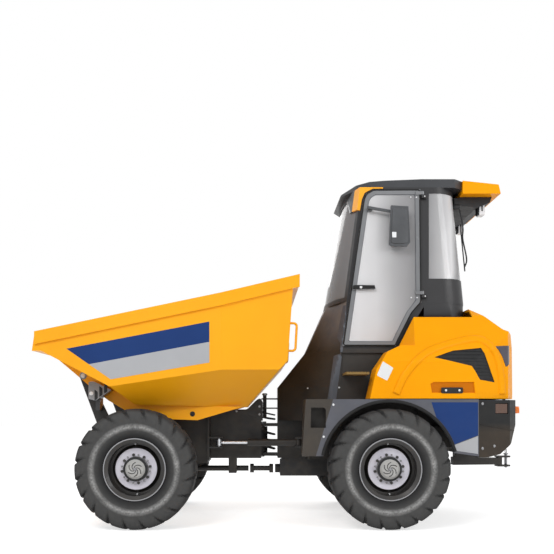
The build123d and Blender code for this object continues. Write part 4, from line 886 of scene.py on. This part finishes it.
def make_skirt_panels(hand, side):
    """The blue panel behind the arch with a pale one under it, and the skirt's bolts."""
    bits = Shape()
    blue_foot, pale_foot = 0.838, 0.672
    heights = [0.998 - 0.03 * n for n in range(9)]
    curve_in = [(on_arch(ARCH + LIP + 0.003, z), z) for z in heights]
    corner = curve_in[-1]
    blue = [(-1.258, 1.132), (SKIRT_REAR_X, 1.132), (SKIRT_REAR_X, blue_foot), *reversed(curve_in)]
    pale = [(corner[0], corner[1] - 0.006), (SKIRT_REAR_X, blue_foot - 0.006), (SKIRT_REAR_X, pale_foot),
            (on_arch(ARCH + LIP + 0.003, 0.70), 0.70)]
    bits.skin(("fenders",), blue, side, 0.0015, 0.5, 0)
    bits.skin(("fenders",), pale, side, 0.0015, 0.5, 1)
    bits.bolts(((-0.385, 1.111), (-0.298, 0.825)), side, FENDER_Y, 0.007, 0.005, 2)
    bits.plate(((-0.165, 0.87), (-0.335, 0.87), (-0.335, 1.12), (-0.165, 1.12)), side, 0.87, 0.875, look=3)
    bits.done(f"skirt_panels_{hand}", "rear_chassis", "blue_panel", "grey_band", "plate_white", "cowl_paint")


for hand, side in SIDES:
    make_arch_lip(hand, side)
    make_skirt_panels(hand, side)

# ---------------------------------------------------------------- cowls and cab outside
COWLS = ("nose_cowl", "dash_cowl", "cab_base", "cab_frame")
STRIP = ((-0.372, 1.158), (-0.434, 1.575), (-0.486, 1.590), (-0.492, 1.690), (-0.466, 1.745),
         (-0.520, 2.05), (-0.546, 2.05), (-0.520, 1.70), (-0.506, 1.612), (-0.450, 1.158))
STRAP_BOLTS = ((-1.140, 3.05), (-1.193, 3.05), (-1.145, 2.113), (-1.199, 2.113))
BRACKET_BOLTS = ((-1.268, 3.054), (-1.272, 2.124))
DOOR_PULL = ((-0.594, 2.187), (-0.602, 2.226), (-0.798, 2.224), (-0.806, 2.193))
DOOR_EDGE = ((-0.512, 1.668), (-0.706, 3.030), (-0.730, 3.082), (-0.792, 3.117), (-1.224, 3.119),
             (-1.234, 2.072), (-1.145, 1.969), (-1.005, 1.693), (-0.996, 1.668))
DOOR_SEAL = ((-0.560, 1.705), (-0.748, 3.010), (-0.768, 3.050), (-0.808, 3.075), (-1.182, 3.077),
             (-1.192, 2.090), (-1.104, 1.975), (-0.978, 1.720), (-0.970, 1.705))


def make_cowl_trim(hand, side):
    """The slate strip up the cowl's rear edge, and the bolts of its seam and of the door's brackets.

    The strip's notch lets the skip's hand grip pass at full steer."""
    trim = Shape()
    trim.skin(COWLS, STRIP, side, 0.004, 0.015, 0)
    trim.flank_bolts(((-0.197, 1.275), (-0.478, 1.275)), side, COWLS, 0.006, 0.004, 1)
    for x, z in BRACKET_BOLTS:
        trim.bolt((x, side * 0.6965, z), (-0.62, side * 0.78, 0), 0.005, 0.004, 1)
    trim.done(f"cowl_trim_{hand}", "rear_chassis", "slate", "plate_white")


def make_door_trim(hand, side):
    """Rubber round the door's glass, a lock barrel in its pull, and the hinge straps' bolts."""
    trim = Shape()
    glass_face = max(abs(corner.y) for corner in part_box(f"door_glass_{hand}"))
    for outline, across, radius, look in ((DOOR_SEAL, glass_face + 0.001, 0.0035, 2),
                                          (DOOR_EDGE, 0.6795, 0.0065, 0)):
        bead = [(x, side * across, z) for x, z in rounded(outline, 0.02, 5)]
        trim.tube(bead + bead[:1], radius, 8, look)
    trim.plate(rounded(DOOR_PULL, 0.008), side, 0.7035, 0.7065, 0.001)
    trim.lathe(((0.012, 0.0), (0.012, 0.003), (0.009, 0.0045), (0.0, 0.0045)), (-0.672, side * 0.704, 2.206),
               (0, side, 0), 20, 1)
    trim.bolts(STRAP_BOLTS, side, 0.68, 0.0045, 0.003, 1)
    trim.done(f"door_trim_{hand}", f"door_{hand}", "rubber", "plate_white", "slate")


def make_mirror_trim(hand, side):
    """The mirror's glass on the cab's side and a rounded shell on the other."""
    face = [(-0.930, 2.592), (-0.944, 2.942), (-1.096, 2.932), (-1.111, 2.612), (-1.088, 2.580),
            (-0.952, 2.580)]
    shell = [(x * 0.86 - 0.143, z * 0.9 + 0.276) for x, z in face]
    plate = ((-0.948, 2.652), (-0.987, 2.652), (-0.987, 2.702), (-0.948, 2.702))
    trim = Shape()
    trim.plate(rounded(face, 0.02), side, 0.7375, 0.741)
    trim.plate(rounded(shell, 0.03), side, 0.774, 0.783, 0.006, 1)
    trim.plate(rounded(plate, 0.004), side, 0.782, 0.7845, look=2)
    trim.done(f"mirror_trim_{hand}", f"door_{hand}", "bright_steel", "mirror_grey", "plate_white")


for hand, side in SIDES:
    make_cowl_trim(hand, side)
    make_door_trim(hand, side)
    make_mirror_trim(hand, side)

# ---------------------------------------------------------------- centre pivot
def make_pivot_tower():
    """The raised plates of the front chassis beside the pivot, cut to clear the skip."""
    tower = Shape()
    plate = ((0.250, 0.955), (0.420, 1.036), (0.740, 1.036), (0.740, 1.070), (0.395, 1.070), (0.300, 1.165),
             (0.262, 1.185), (0.236, 1.150), (0.236, 0.955))
    for _, side in SIDES:
        tower.plate(rounded(plate, 0.02), side, 0.110, 0.129, 0.002)
        tower.bolts(((0.27, 1.10), (0.27, 1.02), (0.50, 1.053), (0.66, 1.053)), side, 0.129, 0.008, 0.006, 1)
    tower.done("pivot_tower", "front_chassis", "chassis_dark", "dull_steel")


def make_pivot_lugs():
    """The rear chassis' upper hose lugs, on the cowl's nose, with the bar that joins them."""
    lugs = Shape()
    lug = ((0.080, -0.055), (0.080, 0.055), (0.200, 0.034), (0.238, 0.030), (0.250, 0.0), (0.238, -0.030),
           (0.200, -0.034))
    for z in (1.075, 1.170):
        lugs.prism(lug, z, z + 0.014, "Z", bevel=0.002)
    lugs.tube(((0.215, 0, 0.98), (0.215, 0, 1.235)), 0.019, 16, 0)
    lugs.lathe(((0.019, 0.0), (0.027, 0.0), (0.027, 0.016), (0.0, 0.02)), (0.215, 0, 1.215), (0, 0, 1), 24, 1)
    lugs.done("pivot_lugs", "rear_chassis", "chassis_dark", "dull_steel")


def make_hoses():
    """Hoses of the front chassis that loop round the back of the pivot, inside its turning room."""
    hoses = Shape()
    for z, sag, radius in ((0.700, 0.030, 0.010), (0.765, 0.012, 0.008), (0.840, 0.024, 0.010),
                           (0.985, 0.014, 0.010), (1.035, 0.022, 0.008)):
        half = [(0.278, 0.096, z + 0.012), (0.236, 0.104, z + 0.006), (0.186, 0.108, z - sag * 0.3),
                (0.137, 0.078, z - sag * 0.8)]
        path = half + [(0.114, 0.0, z - sag)] + [(x, -y, at) for x, y, at in reversed(half)]
        hoses.tube(curve(path, 8), radius, 12, 0)
    hoses.done("pivot_hoses", "front_chassis", "rubber")


make_pivot_tower()
make_pivot_lugs()
make_hoses()

# ---------------------------------------------------------------- rear of the cab, lamps and hitch
def make_cab_skirt():
    """The panel that carries the cab's rear down to the hood, round both rear corners."""
    rear, half, corner = -1.688, 0.648, 0.22
    plan = [(-1.270, half), (rear + corner, half)]
    plan += [(rear + corner - corner * sin(a), half - corner + corner * cos(a))
             for a in (pi / 2 * n / 8 for n in range(1, 9))]
    plan += [(x, -y) for x, y in reversed(plan)]
    skirt = Shape()
    rows = []
    for inset, z in ((0.0, 2.062), (0.0, 1.94), (0.006, 1.93), (0.012, 1.94), (0.012, 2.062)):
        rows.append([skirt.mesh.verts.new((x + (inset if x < -1.4 else 0.0),
                                           copysign(abs(y) - inset, y), z)) for x, y in plan])
    stitch(skirt.mesh, rows, across=False, along=True)
    for n in (0, -1):
        skirt.mesh.faces.new([row[n] for row in rows])
    skirt.done("cab_skirt", "rear_chassis", "cab_charcoal")


make_cab_skirt()


def make_rear_wiper():
    """The wiper behind the rear glass: a motor under the visor, a cranked arm and its blade."""
    side_y = 0.45
    arm = curve([(-1.648, side_y, 3.02), (-1.672, side_y, 2.93), (-1.690, side_y, 2.81),
                 (-1.688, side_y, 2.71), (-1.725, side_y, 2.52), (-1.705, side_y, 2.44)], 6)
    wiper = Shape()
    wiper.tube(arm, 0.0075, 8)
    motor = ((0.0, 0.03), (0.026, 0.026), (0.03, 0.0), (0.03, -0.03))
    wiper.lathe(motor, (-1.628, side_y, 3.02), (-1, 0, 0.1), 24, 0)
    blade = [(-1.668 - 0.04 * n / 8, side_y, 2.80 - 0.40 * n / 8) for n in range(9)]
    wiper.tube(blade, 0.006, 6, 0)
    wiper.done("rear_wiper", "rear_chassis", "black_plastic")


def make_work_lamp_trim():
    """Lens and fins of each work lamp, and the brackets they hang from."""
    low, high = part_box("work_lamps")
    trim = Shape()
    for _, side in SIDES:
        middle = side * 0.38
        trim.prism(rounded(((middle - 0.045, low.z + 0.008), (middle + 0.045, low.z + 0.008),
                            (middle + 0.045, high.z - 0.03), (middle - 0.045, high.z - 0.03)), 0.01),
                   low.x - 0.004, low.x, "X", look=1)
        for n in range(6):
            y = middle - 0.04 + 0.016 * n
            trim.prism(((-1.855, low.z + 0.006), (-1.842, low.z + 0.01), (-1.842, high.z - 0.02),
                        (-1.855, high.z - 0.014)), y - 0.002, y + 0.002)
        for y in (middle - 0.052, middle + 0.052):
            trim.tube(((-1.88, y, 2.985), (-1.88, y, 3.05)), 0.006, 8)
    trim.done("work_lamp_trim", "rear_chassis", "black_plastic", "plate_white")


def make_hitch_pin():
    """The drop pin through the tow jaw, with its ring."""
    jaw = Vector((-2.25, 0, 0))
    pin = Shape()
    pin.lathe(((0.0, 0.476), (0.012, 0.476), (0.0145, 0.482), (0.0145, 0.612), (0.024, 0.612), (0.024, 0.622),
               (0.0, 0.622)), jaw, (0, 0, 1), 28, 0)
    ring = [(jaw.x, 0.024 * cos(a), 0.642 + 0.024 * sin(a))
            for a in (2 * pi * n / 24 for n in range(25))]
    pin.tube(ring, 0.004, 8, 0)
    pin.done("hitch_pin", "rear_chassis", "dull_steel")


def make_bumper_trim():
    """The ridge along the bumper's flanks, its bolts and the amber marker lamps."""
    trim = Shape()
    for _, side in SIDES:
        trim.tube([on_flank(("bumper",), -1.70 - 0.36 * n / 12, 0.935 - 0.06 * n / 12, side, 0.001)
                   for n in range(13)], 0.005, 8)
        trim.flank_bolts(((-1.72, 1.12), (-1.72, 0.72), (-1.84, 0.74)), side, ("bumper",), 0.009, 0.006, 1)
        marker = ((-2.095, 1.03), (-2.142, 1.034), (-2.140, 1.096), (-2.092, 1.1))
        trim.plate(marker, side, 0.66, 0.72, 0.003, 2)
    trim.done("bumper_trim", "rear_chassis", "bumper_paint", "dull_steel", "tail_paint")


make_rear_wiper()
make_work_lamp_trim()
make_hitch_pin()
make_bumper_trim()

# ---------------------------------------------------------------- inside the cab
CUSHION = ((-0.850, 1.955), (-1.190, 1.955), (-1.235, 2.110), (-1.10, 2.128), (-0.92, 2.098), (-0.860, 2.070))
BACKREST = ((-1.205, 2.065), (-1.325, 2.075), (-1.412, 2.690), (-1.380, 2.716), (-1.338, 2.710),
            (-1.300, 2.55), (-1.262, 2.30), (-1.222, 2.14))
PLEATS = (-0.12, -0.04, 0.04, 0.12)                  # seams across the seat's width
BOLSTER = 0.165                                      # where the side bolsters start


def stuffed(shape, outline, half_width, stations=49):
    """A padded block: the (X, Z) outline swept across, rounded at its sides, with bolsters and seams."""
    ring = [Vector((x, z)) for x, z in rounded(outline, 0.04, 8)]
    count = len(ring)
    outward = []
    for n in range(count):
        ahead = ring[(n + 1) % count] - ring[n - 1]
        outward.append(Vector((ahead.y, -ahead.x)).normalized())
    middle = sum(ring, Vector((0, 0))) / count
    if sum((p - middle).dot(o) for p, o in zip(ring, outward)) < 0:
        outward = [-o for o in outward]
    rows = []
    for k in range(stations):
        share = -cos(pi * k / (stations - 1))
        y = share * half_width
        edge = min(1.0, (half_width - abs(y)) / 0.045)
        inset = 0.045 * (1 - sqrt(1 - (1 - edge) ** 2))
        puff = 0.006 * abs(cos(pi * y / 0.08)) if abs(y) < BOLSTER else 0.012
        seam = sum(0.008 * exp(-((abs(y) - abs(at)) / 0.006) ** 2) for at in PLEATS[2:] + (BOLSTER,))
        lift = (puff - seam) * edge
        rows.append([shape.mesh.verts.new((p.x + o.x * (lift - inset), y, p.y + o.y * (lift - inset)))
                     for p, o in zip(ring, outward)])
    stitch(shape.mesh, rows, caps=True)


def make_seat():
    """Cushion and backrest with bolsters and pleats, in place of the plain seat."""
    seat = Shape()
    stuffed(seat, CUSHION, 0.243)
    stuffed(seat, BACKREST, 0.238)
    piece = seat.done("padded_seat", "rear_chassis", "seat_cloth", sharp=70.0)
    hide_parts("seat")


def make_controls():
    """Dash pod, joystick, armrest and pedals."""
    bits = Shape()
    pod = ((-0.60, 2.085), (-0.47, 2.085), (-0.50, 2.175), (-0.585, 2.190))
    bits.prism(rounded(pod, 0.02), -0.17, 0.17, bevel=0.006)
    bits.prism(((-0.150, 2.10), (0.150, 2.10), (0.150, 2.168), (-0.150, 2.168)), -0.604, -0.598, "X",
               look=1)
    stick = curve([(-0.93, -0.495, 2.10), (-0.93, -0.495, 2.17), (-0.915, -0.495, 2.235)], 5)
    bits.tube(stick, 0.008, 10, 2)
    bits.lathe(((0.0, -0.03), (0.017, -0.028), (0.021, 0.0), (0.026, 0.045), (0.018, 0.062), (0.0, 0.066)),
               (-0.915, -0.495, 2.235), (0.08, 0, 1), 20, 0)
    rest = ((-1.22, 2.165), (-0.99, 2.150), (-0.99, 2.195), (-1.22, 2.215))
    bits.prism(rounded(rest, 0.018), -0.35, -0.275, bevel=0.01)
    for y in (-0.12, 0.12):
        pedal = ((-0.66, 1.70), (-0.60, 1.79), (-0.59, 1.784), (-0.65, 1.694))
        bits.prism(pedal, y - 0.04, y + 0.04, bevel=0.003, look=3)
        bits.tube(((-0.60, y, 1.642), (-0.61, y, 1.75)), 0.008, 8, 2)
    bits.done("controls", "rear_chassis", "black_plastic", "slate", "dull_steel", "rubber")


def make_steering_wheel():
    """A round grip, three spokes and a horn pad in place of the plain wheel."""
    foot, top = Vector((-0.600, 0, 1.640)), Vector((-0.762, 0, 2.270))
    axis = (top - foot).normalized()
    plane = top + axis * 0.034
    across, up = Vector((0, 1, 0)), axis.cross(Vector((0, 1, 0))).normalized()
    reach, grip = 0.185, 0.0135
    wheel = Shape()
    ring = [plane + reach * (cos(a) * across + sin(a) * up) for a in [*turns(64), 2 * pi]]
    wheel.tube(ring, grip, 14)
    for turn in turns(3):
        arm = cos(turn + pi / 2) * across + sin(turn + pi / 2) * up
        wheel.tube((plane + arm * 0.03 - axis * 0.004, plane + arm * 0.11 - axis * 0.006, plane + arm * 0.18),
                   0.009, 10, 0)
    boss = ((0.0125, -0.030), (0.038, -0.030), (0.038, 0.008), (0.03, 0.013), (0.0, 0.015))
    wheel.lathe(boss, plane, axis, 32, 0)
    piece = wheel.done("round_steering_wheel", "steering_wheel", "black_plastic")
    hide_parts("steering_wheel")


make_seat()
make_controls()
make_steering_wheel()

# ---------------------------------------------------------------- studio
FLOOR_HALF = 40.0
CAMERA_PLACE = Vector((0.305, 7.806, 1.064))
CAMERA_LENS, CAMERA_SENSOR = 49.6, 36.0
CAMERA_SHIFT = (0.038, 0.240)
AMBIENT, FLOOR_GLOW, FLOOR_GREY = 0.56, 0.62, 0.82
# name, place, point that it faces, diameter, watts
LIGHTS = (("key", (3.5, 8.0, 7.0), (0, 0, 1.2), 4.0, 360),
          ("fill", (-6.0, 6.0, 4.0), (-0.5, 0, 1.2), 4.0, 160),
          ("back", (0.0, -7.0, 6.0), (0, 0, 1.4), 5.0, 160))


def make_floor():
    """A white floor that keeps the shadow: it glows for what is seen, but lights nothing."""
    bpy.ops.mesh.primitive_plane_add(size=2 * FLOOR_HALF)
    floor = bpy.context.object
    floor.name = "floor"
    shader = Shader("floor", roughness=1.0, specular=0.0)
    glow = shader.seen_directly(0.0, FLOOR_GLOW)
    for key, value in (("Base Color", (FLOOR_GREY, FLOOR_GREY, FLOOR_GREY, 1)),
                       ("Emission Color", (1, 1, 1, 1)), ("Emission Strength", glow)):
        shader.feed(shader.surface[key], value)
    floor.data.materials.append(shader.material)


def make_light(name, place, target, size, energy):
    data = bpy.data.lights.new(name, "AREA")
    data.shape, data.size, data.energy = "DISK", size, energy
    lamp = add_object(name, data)
    lamp.location = place
    lamp.rotation_euler = (Vector(target) - Vector(place)).to_track_quat("-Z", "Y").to_euler()


def make_studio():
    make_floor()
    world = bpy.data.worlds.new("studio")
    world.use_nodes = True
    bpy.context.scene.world = world
    sky, background = Nodes(world.node_tree), world.node_tree.nodes["Background"].inputs
    sky.feed(background["Strength"], sky.seen_directly(AMBIENT, 1.0))
    sky.feed(background["Color"], (1, 1, 1, 1))
    for light in LIGHTS:
        make_light(*light)
    camera = add_object("camera", bpy.data.cameras.new("camera"))
    camera.location = CAMERA_PLACE
    camera.rotation_euler = (radians(90), 0, radians(180))
    camera.data.lens, camera.data.sensor_width = CAMERA_LENS, CAMERA_SENSOR
    camera.data.shift_x, camera.data.shift_y = CAMERA_SHIFT
    bpy.context.scene.camera = camera
    bpy.context.scene.view_settings.view_transform = "Standard"


make_studio()
